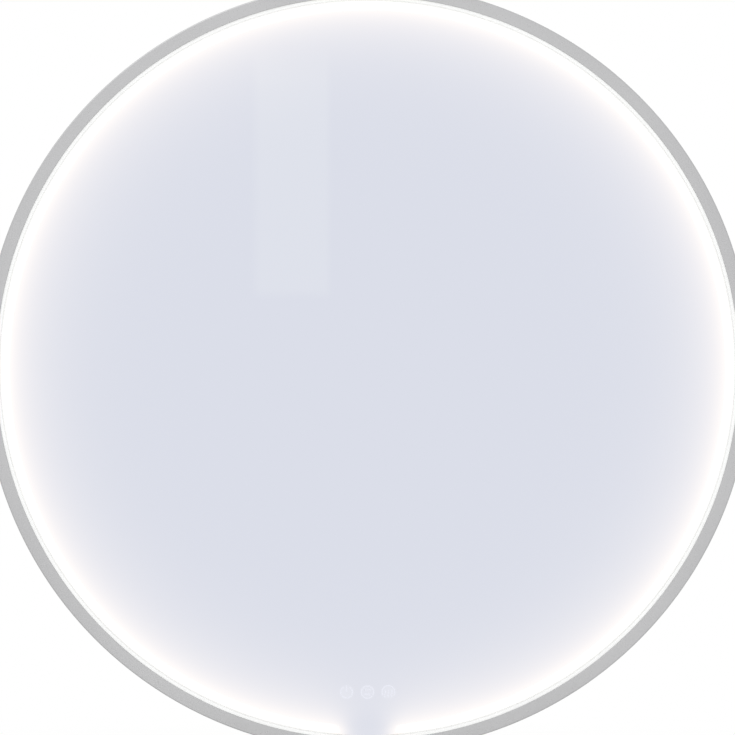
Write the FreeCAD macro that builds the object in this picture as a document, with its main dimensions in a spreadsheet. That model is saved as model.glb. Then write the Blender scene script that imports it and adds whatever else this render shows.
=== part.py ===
import FreeCAD, Part
import math
import os
import re
import Sketcher

# Round lighted bathroom mirror: a bent aluminium frame around a silvered glass, with a ring of
# lamps behind an opal ring, three touch keys, and a lift-off rail on the wall.
#
# Every piece is drawn in the mirror's front view: X to the right, Y up, Z off the wall.
# It is then stood up, so that the model has Z up and Y into the wall. The model's origin is
# the middle of the wall rail's two screw holes, on the wall.

V = FreeCAD.Vector

SIZES = (
    # frame
    ("frame_radius", "300", "outer radius of the frame"),
    ("frame_face", "10", "width of the frame's front face"),
    ("frame_wall", "1.6", "wall of the frame extrusion"),
    ("frame_rear_gap", "3", "from the wall to the frame's rear edge"),
    ("frame_edge_round", "1", "rounding of the frame's outer edges"),
    ("frame_seam", "0.2", "hairline joint at the bottom, where the bent frame closes"),
    ("ledge_width", "4", "ledge inside the frame that carries the opal ring"),
    ("screw_flange", "10", "flange inside the frame that the panel is screwed to"),
    ("joint_key_length", "60", "key inside the frame that closes its joint"),
    # depths, counted off the wall
    ("rail_space", "10", "from the wall to the back panel"),
    ("panel_sheet", "1.2", "back panel sheet"),
    ("inner_depth", "22.3", "from the back panel to the bond tapes"),
    ("tape_thickness", "0.5", "bond tape behind the glass"),
    ("glass_thickness", "5", "mirror glass"),
    ("glass_recess", "1", "glass below the frame's front face"),
    ("glass_arris", "0.5", "ground edge of the glass"),
    # clearances
    ("fit_gap", "0.3", "gap round a piece that drops into another"),
    ("edge_gap", "0.2", "gap at each side of the opal line"),
    ("glue_gap", "0.1", "glue line under the lamp strip"),
    ("hole_gap", "0.15", "clearance round a screw or rivet"),
    # opal ring, seal and bond tapes
    ("diffuser_line", "3", "white line between glass and frame"),
    ("diffuser_thickness", "2.5", "opal ring behind the glass"),
    ("seal_thickness", "0.5", "seal between ledge and opal ring"),
    ("bond_width", "5", "width of the bond tapes"),
    ("bond_inset", "1", "bond tape inside the glass edge"),
    # light hoop and lamps
    ("light_cavity", "20", "from the frame's opening in to the light hoop"),
    ("hoop_sheet", "1.2", "light hoop sheet"),
    ("hoop_lip", "6", "hoop lip that the glass is bonded to"),
    ("hoop_foot", "12", "hoop foot that is screwed to the panel"),
    ("light_gap", "42", "gap in the light at the bottom, at the glass edge"),
    ("strip_width", "10", "lamp strip"),
    ("strip_thickness", "0.4", "lamp strip"),
    ("chip_length", "3.5", "lamp chip along the strip"),
    ("chip_width", "2.8", "lamp chip across the strip"),
    ("chip_height", "0.8", "lamp chip off the strip"),
    ("chip_pitch", "16.6", "lamp to lamp"),
    ("plug_width", "10", "strip plug"),
    ("plug_depth", "3", "strip plug, inside the hoop"),
    ("plug_proud", "2.5", "strip plug, outside the hoop"),
    ("reflector_sheet", "0.3", "white reflector foil on the panel"),
    ("reflector_gap", "0.5", "gap at each edge of the foil"),
    # back panel
    ("bead_width", "10", "stiffening bead pressed in the panel"),
    ("bead_height", "1.5", "stiffening bead"),
    ("bead_margin", "6", "from the bead out to the hoop's foot"),
    ("vent_width", "4", "vent slot"),
    ("vent_length", "30", "vent slot"),
    ("vent_pitch", "10", "slot to slot"),
    ("vent_clear", "60", "from the driver's end to the first slot"),
    # screws and rivets
    ("screw_radius", "2", "M4 screw"),
    ("screw_head_radius", "3.8", "pan head"),
    ("screw_head_height", "2.2", "pan head"),
    ("joint_screw_radius", "1.5", "M3 screw of the frame's joint"),
    ("joint_screw_head_radius", "2.8", "its pan head"),
    ("joint_screw_head_height", "1.8", "its pan head"),
    ("screw_grip", "3", "screw beyond what it holds"),
    ("recess_length", "4.2", "cross recess, tip to tip"),
    ("recess_width", "0.9", "cross recess, across one bar"),
    ("recess_depth", "1.2", "cross recess"),
    ("rivet_radius", "2.4", "blind rivet"),
    ("rivet_head_radius", "4.6", "rivet head"),
    ("rivet_head_height", "1.3", "rivet head"),
    ("rivet_tail_radius", "3.6", "set end of the rivet"),
    ("rivet_tail_length", "3.8", "set end of the rivet"),
    # wall rail and hanger rail
    ("rail_sheet", "2", "both rails"),
    ("rail_length", "180", "wall rail"),
    ("rail_hole_radius", "2.75", "wall screw hole"),
    ("rail_hole_spacing", "150", "hole to hole"),
    ("rail_foot", "14", "wall rail below its holes"),
    ("rail_rise", "10", "from the holes up to the hook's floor"),
    ("hook_height", "12", "hook of the wall rail"),
    ("hook_gap", "0.3", "play of the hanger in the hook, each side"),
    ("hook_relief", "0.5", "from the hook's floor to the hanger's lip"),
    ("bend_round", "1.5", "outside of the rails' bends"),
    ("hanger_length", "200", "hanger rail"),
    ("hanger_base", "24", "hanger rail against the panel"),
    ("rivet_inset", "15", "outer rivet from the hanger's end"),
    ("rail_margin", "22", "from the hanger's top corners out to the bead"),
    ("bumper_radius", "10", "rubber wall bumper"),
    ("bumper_margin", "20", "from the bumper out to the bead"),
    ("bumper_angle", "49", "bumper below the horizontal, in degrees"),
    ("bumper_bevel", "1.5", "bumper's wall end"),
    # room behind the glass
    ("film_thickness", "0.4", "heater film on the glass"),
    ("film_radius", "150", "heater film"),
    ("film_tab_length", "14", "solder tab of the film"),
    ("film_tab_width", "10", "solder tab of the film"),
    ("film_tab_height", "3", "solder tab of the film"),
    ("head_room", "4.4", "air between film and driver or junction box"),
    # junction box, its cover and the cable inlet
    ("junction_height", "50", "junction box above the mirror's centre"),
    ("opening_width", "100", "opening in the panel"),
    ("opening_height", "54", "opening in the panel"),
    ("box_wall", "1.8", "junction box"),
    ("box_rim", "12", "rim of the junction box and its cover"),
    ("box_corner", "4", "corner rounding of cover and box"),
    ("cover_sheet", "1.2", "junction cover"),
    ("inlet_radius", "5", "bore of the cable grommet"),
    ("grommet_wall", "3", "grommet in the cover's hole"),
    ("grommet_flange", "3", "grommet flange beyond the hole"),
    ("grommet_lip", "2", "grommet flange thickness"),
    ("inlet_offset", "13", "inlet above the junction's centre"),
    ("block_offset", "14", "terminal block below the junction's centre"),
    ("block_length", "36", "terminal block"),
    ("block_width", "16", "terminal block"),
    ("block_height", "12", "terminal block"),
    ("block_pitch", "11", "way to way"),
    ("block_screw_radius", "1.7", "clamp screw"),
    ("block_screw_offset", "4", "clamp screw from the block's middle"),
    ("block_screw_sink", "1", "clamp screw below the block's face"),
    ("block_screw_length", "4", "clamp screw"),
    # driver
    ("driver_drop", "75", "driver below the mirror's centre"),
    ("driver_length", "150", "driver case"),
    ("driver_width", "42", "driver case"),
    ("driver_wall", "1.6", "driver case and lid"),
    ("driver_ear", "12", "screw ear at each end"),
    ("driver_ear_width", "20", "screw ear"),
    ("driver_ear_sheet", "3", "screw ear"),
    ("driver_corner", "3", "corner rounding"),
    ("lid_rim", "2", "rim of the lid inside the case"),
    ("post_radius", "2.5", "posts under the board"),
    ("post_height", "3", "posts under the board"),
    ("post_inset", "6", "post from the case's inner walls"),
    ("board_sheet", "1.6", "driver board"),
    ("part_air", "0.8", "air between driver parts and lid"),
    ("core_length", "26", "transformer core along the driver"),
    ("core_width", "24", "transformer core across the driver"),
    ("core_leg", "5", "legs and yokes of the core"),
    ("core_offset", "18", "core from the driver's middle"),
    ("capacitor_length", "20", "capacitor"),
    ("capacitor_pitch", "11", "capacitor to capacitor"),
    ("capacitor_offset", "24", "capacitors from the driver's middle"),
    ("terminal_length", "9", "driver terminal"),
    ("terminal_width", "16", "driver terminal"),
    # touch keys
    ("key_pitch", "16.3", "key to key"),
    ("key_window", "12", "window in the gasket"),
    ("key_margin", "5.7", "gasket beyond the outer windows"),
    ("key_border", "3", "gasket above and below the windows"),
    ("gasket_sheet", "1", "foam gasket"),
    ("touch_wall", "1.2", "touch cover"),
    ("touch_depth", "5", "touch cover"),
    ("touch_corner", "3", "corner rounding"),
    ("touch_board_sheet", "1.2", "touch board"),
    ("key_lamp", "3", "lamp behind a key"),
    ("key_lamp_height", "0.6", "lamp behind a key"),
    ("touch_chip", "6", "touch controller"),
    ("touch_chip_height", "1.2", "touch controller"),
    ("socket_width", "7", "socket on the touch board"),
    ("socket_proud", "1.5", "socket beyond the touch cover"),
    ("heater_socket_offset", "18", "heater socket left of the middle key"),
    # leads
    ("supply_lead", "4.4", "lead from terminal block to driver"),
    ("output_lead", "4", "lead from driver to touch keys"),
    ("heater_lead", "3", "lead to the heater film"),
    ("strip_lead", "2", "lead to the lamp strip"),
    ("earth_lead", "3", "earth lead"),
    ("lead_height", "6", "leads above the panel"),
    ("lead_swing", "26", "leads beside the driver"),
    ("clip_length", "8", "lead clip"),
    ("clip_wall", "1.5", "lead clip"),
    ("clip_foot", "4", "foot of the clip, beside its loop"),
    ("lead_bend", "30", "widest bend of a lead"),
    ("lead_corner", "36", "output lead's turn above the touch keys"),
    # earth point
    ("earth_across", "90", "earth stud right of the centre"),
    ("earth_height", "5", "earth stud above the centre"),
    ("earth_stud_length", "12", "earth stud"),
    ("lug_sheet", "1", "earth lug"),
    ("lug_radius", "5", "earth lug"),
    ("lug_barrel", "10", "barrel of the lug"),
    ("nut_height", "3", "earth nut"),
    ("nut_flats", "7", "earth nut"),
)

PLACES = {
    # depths off the wall
    "panel_front": "rail_space + panel_sheet",
    "carrier_top": "panel_front + inner_depth",
    "glass_back": "carrier_top + tape_thickness",
    "glass_front": "glass_back + glass_thickness",
    "frame_front": "glass_front + glass_recess",
    "diffuser_bottom": "carrier_top - diffuser_thickness",
    "ledge_top": "diffuser_bottom - seal_thickness",
    "ledge_bottom": "ledge_top - frame_wall",
    "hoop_middle": "panel_front + inner_depth / 2",
    "inner_top": "glass_back - film_thickness - head_room",
    "lead_level": "panel_front + lead_height",
    # radii
    "opening_radius": "frame_radius - frame_face",
    "skirt_radius": "frame_radius - frame_wall",
    "ledge_radius": "opening_radius - ledge_width",
    "flange_radius": "skirt_radius - screw_flange",
    "flange_screws": "skirt_radius - screw_flange / 2",
    "panel_radius": "skirt_radius - fit_gap",
    "glass_radius": "opening_radius - diffuser_line",
    "hoop_radius": "opening_radius - light_cavity",
    "lip_radius": "hoop_radius - hoop_lip",
    "hoop_screws": "hoop_radius - hoop_sheet / 2 - hoop_foot / 2",
    "bead_outer": "hoop_radius - hoop_foot - bead_margin",
    "bead_inner": "bead_outer - bead_width",
    "chamber_middle": "(opening_radius + frame_wall + skirt_radius) / 2",
    "strip_inner": "hoop_radius + glue_gap",
    "strip_outer": "strip_inner + strip_thickness",
    # hanging
    "hook_slot": "2 * hook_gap + rail_sheet",
    "hook_top": "rail_rise + hook_height",
    "hanger_reach": "hook_top + hanger_base",
    "hang_drop": "sqrt((bead_inner - rail_margin) ^ 2 - (hanger_length / 2) ^ 2) - hanger_reach",
    "rivet_row": "hanger_reach - (hanger_base - rail_sheet) / 2",
    "rivet_across": "hanger_length / 2 - rivet_inset",
    "bumper_circle": "bead_inner - bumper_margin - bumper_radius",
    # light
    "gap_angle": "2 * asin(light_gap / 2 / glass_radius) / 1 deg",
    "strip_end": "hoop_radius * light_gap / 2 / glass_radius",
    "plug_across": "strip_end - fit_gap - plug_width / 2",
    # touch keys
    "module_half": "key_pitch + key_window / 2 + key_margin",
    "module_height": "key_window + 2 * key_border",
    "key_drop": "sqrt((lip_radius - 2 * fit_gap) ^ 2 - module_half ^ 2) - module_height / 2",
    "touch_front": "glass_back - gasket_sheet",
    "touch_board_rear": "touch_front - touch_board_sheet",
    "touch_rear": "touch_front - touch_depth",
    "socket_rear": "touch_rear - socket_proud",
    "touch_inner_half": "module_half - touch_wall",
    "touch_inner_height": "module_height - 2 * touch_wall",
    # junction
    "box_floor": "inner_top - box_wall",
    "cover_rear": "rail_space - cover_sheet",
    "cover_width": "opening_width + 2 * box_rim",
    "cover_height": "opening_height + 2 * box_rim",
    "cover_screw_x": "opening_width / 2 + box_rim / 2 + box_wall / 2",
    "cover_screw_y": "opening_height / 2 + box_rim / 2 + box_wall / 2",
    "inlet_hole": "inlet_radius + grommet_wall",
    "block_rear": "box_floor - block_height",
    "block_middle": "box_floor - block_height / 2",
    "block_bottom": "junction_height - block_offset - block_width / 2",
    # driver
    "driver_half": "driver_length / 2",
    "lid_bottom": "inner_top - driver_wall",
    "driver_board_bottom": "panel_front + driver_wall + post_height",
    "driver_board_top": "driver_board_bottom + board_sheet",
    "part_top": "lid_bottom - part_air",
    "part_height": "part_top - driver_board_top",
    "part_middle": "driver_board_top + part_height / 2",
    "driver_inner_length": "driver_length - 2 * driver_wall",
    "driver_inner_width": "driver_width - 2 * driver_wall",
    "terminal_face": "driver_half - 2 * driver_wall - edge_gap - fit_gap",
    "ear_screw": "driver_half + driver_ear / 2",
    # leads
    "swing_across": "driver_half + lead_swing",
    "output_run_top": "driver_drop + lead_swing",
    "output_run": "key_drop - lead_corner - output_run_top",
    "heater_run_top": "film_radius - film_tab_length",
    "heater_run": "key_drop - heater_run_top",
}

SIZE_NAMES = {name for name, _, _ in SIZES}

SCREW_COUNT = 12
VENT_COUNT = 4

doc = FreeCAD.newDocument("LightedMirror")
sheet = doc.addObject("Spreadsheet::Sheet", "Sizes")
for row, (size_name, size_text, meaning) in enumerate(SIZES, start=1):
    sheet.set(f"A{row}", size_name)
    sheet.set(f"B{row}", size_text)
    sheet.set(f"C{row}", meaning)
    sheet.setAlias(f"B{row}", size_name)
doc.recompute()

pieces = []


# ---------------------------------------------------------------- drawing tools

def formula(text):
    """Writes a formula out in the sheet's own names."""
    def spell(match):
        word = match.group(0)
        if word in PLACES:
            return "(" + formula(PLACES[word]) + ")"
        if word in SIZE_NAMES:
            return "Sizes." + word
        return word
    return re.sub(r"[a-z][a-z_]*", spell, text)


def value(text):
    """The number that a formula gives now."""
    result = sheet.evalExpression(formula(text))
    return float(getattr(result, "Value", result))


def stand(thing, across="0", up="-hang_drop"):
    """Stands a piece up: its Y becomes the model's Z, and its Z points off the wall."""
    thing.Placement = FreeCAD.Placement(V(0, 0, 0), FreeCAD.Rotation(V(1, 0, 0), 90))
    thing.setExpression("Placement.Base.x", formula(across))
    thing.setExpression("Placement.Base.z", formula(up))
    pieces.append(thing)


def piece(name, across="0", up="-hang_drop"):
    """A new sub-part whose own origin lies at the given place on the wall."""
    body = doc.addObject("PartDesign::Body", name)
    body.Label = name
    stand(body, across, up)
    return body


def own(body, role):
    """One of the body's own planes or axes."""
    return next(item for item in body.Origin.OriginFeatures if item.Role == role)


def sketch(body, name, plane="XY_Plane", offset="0"):
    """An empty sketch on one of the body's planes, moved along the plane's normal."""
    drawing = body.newObject("Sketcher::SketchObject", name)
    drawing.AttachmentSupport = [(own(body, plane), "")]
    drawing.MapMode = "FlatFace"
    drawing.setExpression("AttachmentOffset.Base.z", formula(offset))
    return drawing


def bind(drawing, kind, *rest):
    """A dimension in a sketch that follows a formula, given last."""
    index = drawing.addConstraint(Sketcher.Constraint(kind, *rest[:-1], value(rest[-1])))
    drawing.setExpression(f"Constraints[{index}]", formula(rest[-1]))


def hold(drawing, item, point, x, y):
    """Holds a point of a sketch at two formulas."""
    bind(drawing, "DistanceX", -1, 1, item, point, x)
    bind(drawing, "DistanceY", -1, 1, item, point, y)


def polygon(drawing, corners):
    """A closed outline of straight sides."""
    places = [V(value(x), value(y), 0) for x, y in corners]
    first = drawing.GeometryCount
    count = len(corners)
    for i in range(count):
        drawing.addGeometry(Part.LineSegment(places[i], places[(i + 1) % count]), False)
    for i in range(count):
        after = first + (i + 1) % count
        drawing.addConstraint(Sketcher.Constraint("Coincident", first + i, 2, after, 1))
    for i, (x, y) in enumerate(corners):
        hold(drawing, first + i, 1, x, y)


def rectangle(drawing, width, height, x="0", y="0"):
    """A rectangle about a middle point."""
    left, right = f"{x} - ({width}) / 2", f"{x} + ({width}) / 2"
    low, high = f"{y} - ({height}) / 2", f"{y} + ({height}) / 2"
    polygon(drawing, [(left, low), (right, low), (right, high), (left, high)])


def circle(drawing, radius, x="0", y="0"):
    """A circle about a point."""
    item = drawing.addGeometry(Part.Circle(V(value(x), value(y), 0), V(0, 0, 1), value(radius)), False)
    hold(drawing, item, 3, x, y)
    bind(drawing, "Radius", item, radius)


def slot(drawing, width, length, x, y):
    """An upright slot with round ends."""
    radius = value(width) / 2
    reach = value(length) / 2 - radius
    across, middle = value(x), value(y)
    top = V(across, middle + reach, 0)
    foot = V(across, middle - reach, 0)
    side = V(radius, 0, 0)
    crown = Part.ArcOfCircle(Part.Circle(top, V(0, 0, 1), radius), 0, math.pi)
    base = Part.ArcOfCircle(Part.Circle(foot, V(0, 0, 1), radius), math.pi, 2 * math.pi)
    upper = drawing.addGeometry(crown, False)
    lower = drawing.addGeometry(base, False)
    left = drawing.addGeometry(Part.LineSegment(top - side, foot - side), False)
    right = drawing.addGeometry(Part.LineSegment(foot + side, top + side), False)
    for first, end, second, start in ((upper, 2, left, 1), (left, 2, lower, 1),
                                      (lower, 2, right, 1), (right, 2, upper, 1)):
        drawing.addConstraint(Sketcher.Constraint("Tangent", first, end, second, start))
    hold(drawing, upper, 3, x, f"{y} + ({length} - {width}) / 2")
    hold(drawing, lower, 3, x, f"{y} - ({length} - {width}) / 2")
    bind(drawing, "Radius", upper, f"{width} / 2")


def pad(body, drawing, length, name, both_ways=False):
    """Adds the outline's solid."""
    feature = body.newObject("PartDesign::Pad", name)
    feature.Profile = drawing
    feature.setExpression("Length", formula(length))
    feature.Midplane = both_ways
    return feature


def cut(body, drawing, name, length=None, forwards=False):
    """Takes the outline's solid away: right through both ways, or one way to a length."""
    doc.recompute()
    before = body.Tip.Shape.Volume
    feature = body.newObject("PartDesign::Pocket", name)
    feature.Profile = drawing
    if length is None:
        feature.Type = "ThroughAll"
        feature.Midplane = True
    else:
        feature.setExpression("Length", formula(length))
        feature.Reversed = forwards
    doc.recompute()
    if not feature.Shape.Volume < before:
        raise RuntimeError(f"{name} cuts nothing")
    return feature


def turn(body, drawing, name, angle="360"):
    """Turns an outline about the body's Z axis, evenly to both sides of the outline."""
    feature = body.newObject("PartDesign::Revolution", name)
    feature.Profile = drawing
    feature.ReferenceAxis = (own(body, "Z_Axis"), [""])
    feature.Midplane = True
    feature.setExpression("Angle", formula(angle))
    return feature


def repeat_round(body, features, count, name, angle="360"):
    """Repeats features about the body's Z axis."""
    pattern = body.newObject("PartDesign::PolarPattern", name)
    pattern.Originals = features
    pattern.Axis = (own(body, "Z_Axis"), [""])
    pattern.setExpression("Angle", formula(angle))
    pattern.setExpression("Occurrences", formula(count))
    body.Tip = pattern
    return pattern


def upright(edge):
    """Whether an edge runs straight along Z."""
    if edge.Curve.TypeId != "Part::GeomLine":
        return False
    return abs(abs(edge.Curve.Direction.z) - 1) < 1e-6


def round_edges(body, wanted, radius, name, kind="PartDesign::Fillet"):
    """Rounds or bevels the edges of the body that wanted picks."""
    doc.recompute()
    base = body.Tip
    # the tip's shape is in the body's own axes
    picked = [f"Edge{i}" for i, edge in enumerate(base.Shape.Edges, start=1) if wanted(edge)]
    if not picked:
        raise RuntimeError(f"{name} finds no edge")
    feature = body.newObject(kind, name)
    feature.Base = (base, picked)
    size = "Radius" if kind.endswith("Fillet") else "Size"
    feature.setExpression(size, formula(radius))
    return feature


def plate(name, width, height, bottom, thickness, across="0", up="-hang_drop", corner=None):
    """A rectangular plate or block, with rounded corners if a radius is given."""
    body = piece(name, across, up)
    outline = sketch(body, f"{name}_outline", offset=bottom)
    rectangle(outline, width, height)
    pad(body, outline, thickness, f"{name}_block")
    if corner:
        round_edges(body, upright, corner, f"{name}_corners")
    return body


def ring(name, inner, outer, bottom, top):
    """A flat ring about the mirror's centre."""
    body = piece(name)
    outline = sketch(body, f"{name}_outline", offset=bottom)
    circle(outline, inner)
    circle(outline, outer)
    pad(body, outline, f"{top} - ({bottom})", f"{name}_ring")
    return body


def holes(body, radius, spots, name, offset=None, length=None):
    """Round holes along Z: right through, or down from a level to a length."""
    drawing = sketch(body, f"{name}_circles", offset=offset or "0")
    for x, y in spots:
        circle(drawing, radius, x, y)
    return cut(body, drawing, name, length)


def screws(body, spots, seat, reach, name, kind="screw"):
    """Pan head screws that enter from the wall side, their heads under the seat level."""
    bottom = f"{seat} - {kind}_head_height"
    heads = sketch(body, f"{name}_heads", offset=bottom)
    shanks = sketch(body, f"{name}_shanks", offset=seat)
    for x, y in spots:
        circle(heads, f"{kind}_head_radius", x, y)
        circle(shanks, f"{kind}_radius", x, y)
    head = pad(body, heads, f"{kind}_head_height", f"{name}_head_pad")
    shank = pad(body, shanks, reach, f"{name}_shank_pad")
    crosses = sketch(body, f"{name}_crosses", offset=bottom)
    far, near = "recess_length / 2", "recess_width / 2"
    corners = (
        (far, f"-{near}"), (far, near), (near, near), (near, far), (f"-{near}", far),
        (f"-{near}", near), (f"-{far}", near), (f"-{far}", f"-{near}"), (f"-{near}", f"-{near}"),
        (f"-{near}", f"-{far}"), (near, f"-{far}"), (near, f"-{near}"),
    )
    for x, y in spots:
        polygon(crosses, [(f"{x} + ({a})", f"{y} + ({b})") for a, b in corners])
    recess = cut(body, crosses, f"{name}_recess", "recess_depth", forwards=True)
    return [head, shank, recess]


# ---------------------------------------------------------------- wall rail and hanger

def wall_rail():
    """Bent rail on the wall: flat foot with two screw holes, and a hook open upwards."""
    body = piece("wall_rail", up="0")
    section = sketch(body, "wall_rail_section", "YZ_Plane")
    polygon(section, [
        ("-rail_foot", "0"),
        ("rail_rise", "0"),
        ("rail_rise", "hook_slot"),
        ("hook_top", "hook_slot"),
        ("hook_top", "hook_slot + rail_sheet"),
        ("rail_rise - rail_sheet", "hook_slot + rail_sheet"),
        ("rail_rise - rail_sheet", "rail_sheet"),
        ("-rail_foot", "rail_sheet"),
    ])
    pad(body, section, "rail_length", "wall_rail_bar", both_ways=True)
    bends = (("rail_rise", "0"), ("rail_rise - rail_sheet", "hook_slot + rail_sheet"))
    round_edges(body, along_x(bends), "bend_round", "wall_rail_bends")
    spots = [("rail_hole_spacing / 2", "0"), ("-rail_hole_spacing / 2", "0")]
    holes(body, "rail_hole_radius", spots, "wall_rail_holes")


def along_x(places):
    """Picks the edges along X at the given places in the section."""
    targets = [(value(y), value(z)) for y, z in places]

    def wanted(edge):
        middle = edge.CenterOfMass
        level = abs(edge.Vertexes[0].Point.y - edge.Vertexes[-1].Point.y) < 1e-6
        return level and any(math.hypot(middle.y - y, middle.z - z) < 1e-4 for y, z in targets)
    return wanted


def rivet_spots():
    """Four rivets in a row, evenly spaced."""
    row = "hang_drop + rivet_row"
    return [(f"rivet_across * {share}", row) for share in ("(-1)", "(-1 / 3)", "(1 / 3)", "1")]


def hanger_rail():
    """Bent rail on the mirror: its lip hangs in the wall rail's hook."""
    body = piece("hanger_rail")
    section = sketch(body, "hanger_rail_section", "YZ_Plane")
    lip_end = "hang_drop + rail_rise + hook_relief"
    seat = "hang_drop + hook_top"
    polygon(section, [
        (lip_end, "hook_gap"),
        (lip_end, "hook_gap + rail_sheet"),
        (seat, "hook_gap + rail_sheet"),
        (seat, "rail_space"),
        ("hang_drop + hanger_reach", "rail_space"),
        ("hang_drop + hanger_reach", "rail_space - rail_sheet"),
        (f"{seat} + rail_sheet", "rail_space - rail_sheet"),
        (f"{seat} + rail_sheet", "hook_gap"),
    ])
    pad(body, section, "hanger_length", "hanger_rail_bar", both_ways=True)
    bends = ((f"{seat} + rail_sheet", "hook_gap"), (seat, "rail_space"))
    round_edges(body, along_x(bends), "bend_round", "hanger_rail_bends")
    holes(body, "rivet_radius + hole_gap", rivet_spots(), "hanger_rail_holes")


def hanger_rivets():
    """Blind rivets through hanger rail and panel, heads to the wall, set ends inside."""
    body = piece("hanger_rivets")
    face = "rail_space - rail_sheet"
    levels = (
        ("head", "rivet_head_radius", f"{face} - rivet_head_height", "rivet_head_height"),
        ("shank", "rivet_radius", face, "rail_sheet + panel_sheet"),
        ("tail", "rivet_tail_radius", "panel_front", "rivet_tail_length"),
    )
    for part, radius, bottom, length in levels:
        outline = sketch(body, f"rivet_{part}_circles", offset=bottom)
        for x, y in rivet_spots():
            circle(outline, radius, x, y)
        pad(body, outline, length, f"rivet_{part}s")


def wall_bumpers():
    """Two rubber bumpers that keep the mirror's lower half off the wall."""
    body = piece("wall_bumpers")
    outline = sketch(body, "bumper_circles")
    for side in ("", "-"):
        across = f"{side}bumper_circle * cos(bumper_angle)"
        circle(outline, "bumper_radius", across, "-bumper_circle * sin(bumper_angle)")
    pad(body, outline, "rail_space", "bumper_blocks")

    def wall_end(edge):
        return abs(edge.BoundBox.ZMax) < 1e-6
    round_edges(body, wall_end, "bumper_bevel", "bumper_bevels", "PartDesign::Chamfer")


# ---------------------------------------------------------------- frame

def frame_ring():
    """Bent aluminium extrusion: front tube, ledge for the opal ring, flange for the panel."""
    body = piece("frame_ring")
    section = sketch(body, "frame_section", "YZ_Plane")
    polygon(section, [
        ("frame_radius", "frame_rear_gap"),
        ("frame_radius", "frame_front"),
        ("opening_radius", "frame_front"),
        ("opening_radius", "ledge_top"),
        ("ledge_radius", "ledge_top"),
        ("ledge_radius", "ledge_bottom"),
        ("skirt_radius", "ledge_bottom"),
        ("skirt_radius", "panel_front + frame_wall"),
        ("flange_radius", "panel_front + frame_wall"),
        ("flange_radius", "panel_front"),
        ("skirt_radius", "panel_front"),
        ("skirt_radius", "frame_rear_gap"),
    ])
    polygon(section, [
        ("opening_radius + frame_wall", "ledge_top"),
        ("opening_radius + frame_wall", "frame_front - frame_wall"),
        ("skirt_radius", "frame_front - frame_wall"),
        ("skirt_radius", "ledge_top"),
    ])
    turn(body, section, "frame_bend", "360 - frame_seam / frame_radius * 180 / pi")
    radius = value("frame_radius")
    levels = (value("frame_front"), value("frame_rear_gap"))

    def outer_rim(edge):
        box = edge.BoundBox
        flat = box.ZLength < 1e-6 and any(abs(box.ZMax - level) < 1e-6 for level in levels)
        return flat and abs(box.YMax - radius) < 1e-3
    round_edges(body, outer_rim, "frame_edge_round", "frame_edges")
    thread = sketch(body, "panel_screw_circle", offset="panel_front + frame_wall")
    circle(thread, "screw_radius + hole_gap", *on_circle("flange_screws", "90 + 15"))
    thread_hole = cut(body, thread, "panel_screw_hole", "frame_wall")
    repeat_round(body, [thread_hole], str(SCREW_COUNT), "panel_screw_holes")
    holes(body, "joint_screw_radius + hole_gap", joint_spots(), "joint_screw_holes", "ledge_top",
          "frame_wall")


def on_circle(radius, angle):
    """A place on a circle about the mirror's centre, by its angle in degrees."""
    return f"{radius} * cos({angle})", f"{radius} * sin({angle})"


def joint_spots():
    """The two screws of the frame's joint key, one each side of the seam."""
    drop = "-sqrt(chamber_middle ^ 2 - (joint_key_length / 4) ^ 2)"
    return [("joint_key_length / 4", drop), ("-joint_key_length / 4", drop)]


def frame_joint_key():
    """Curved bar inside the frame's tube, across the seam."""
    body = piece("frame_joint_key")
    section = sketch(body, "joint_key_section", "YZ_Plane")
    inner = "-(opening_radius + frame_wall + fit_gap)"
    outer = "-(skirt_radius - fit_gap)"
    top = "frame_front - frame_wall - fit_gap"
    polygon(section, [(inner, "ledge_top"), (outer, "ledge_top"), (outer, top), (inner, top)])
    turn(body, section, "joint_key_bar", "joint_key_length / opening_radius * 180 / pi")
    holes(body, "joint_screw_radius + hole_gap", joint_spots(), "joint_key_holes")


def frame_joint_screws():
    """Two screws that clamp the joint key from behind the ledge."""
    body = piece("frame_joint_screws")
    screws(body, joint_spots(), "ledge_bottom", "frame_wall + screw_grip", "joint_screws", "joint_screw")


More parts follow.
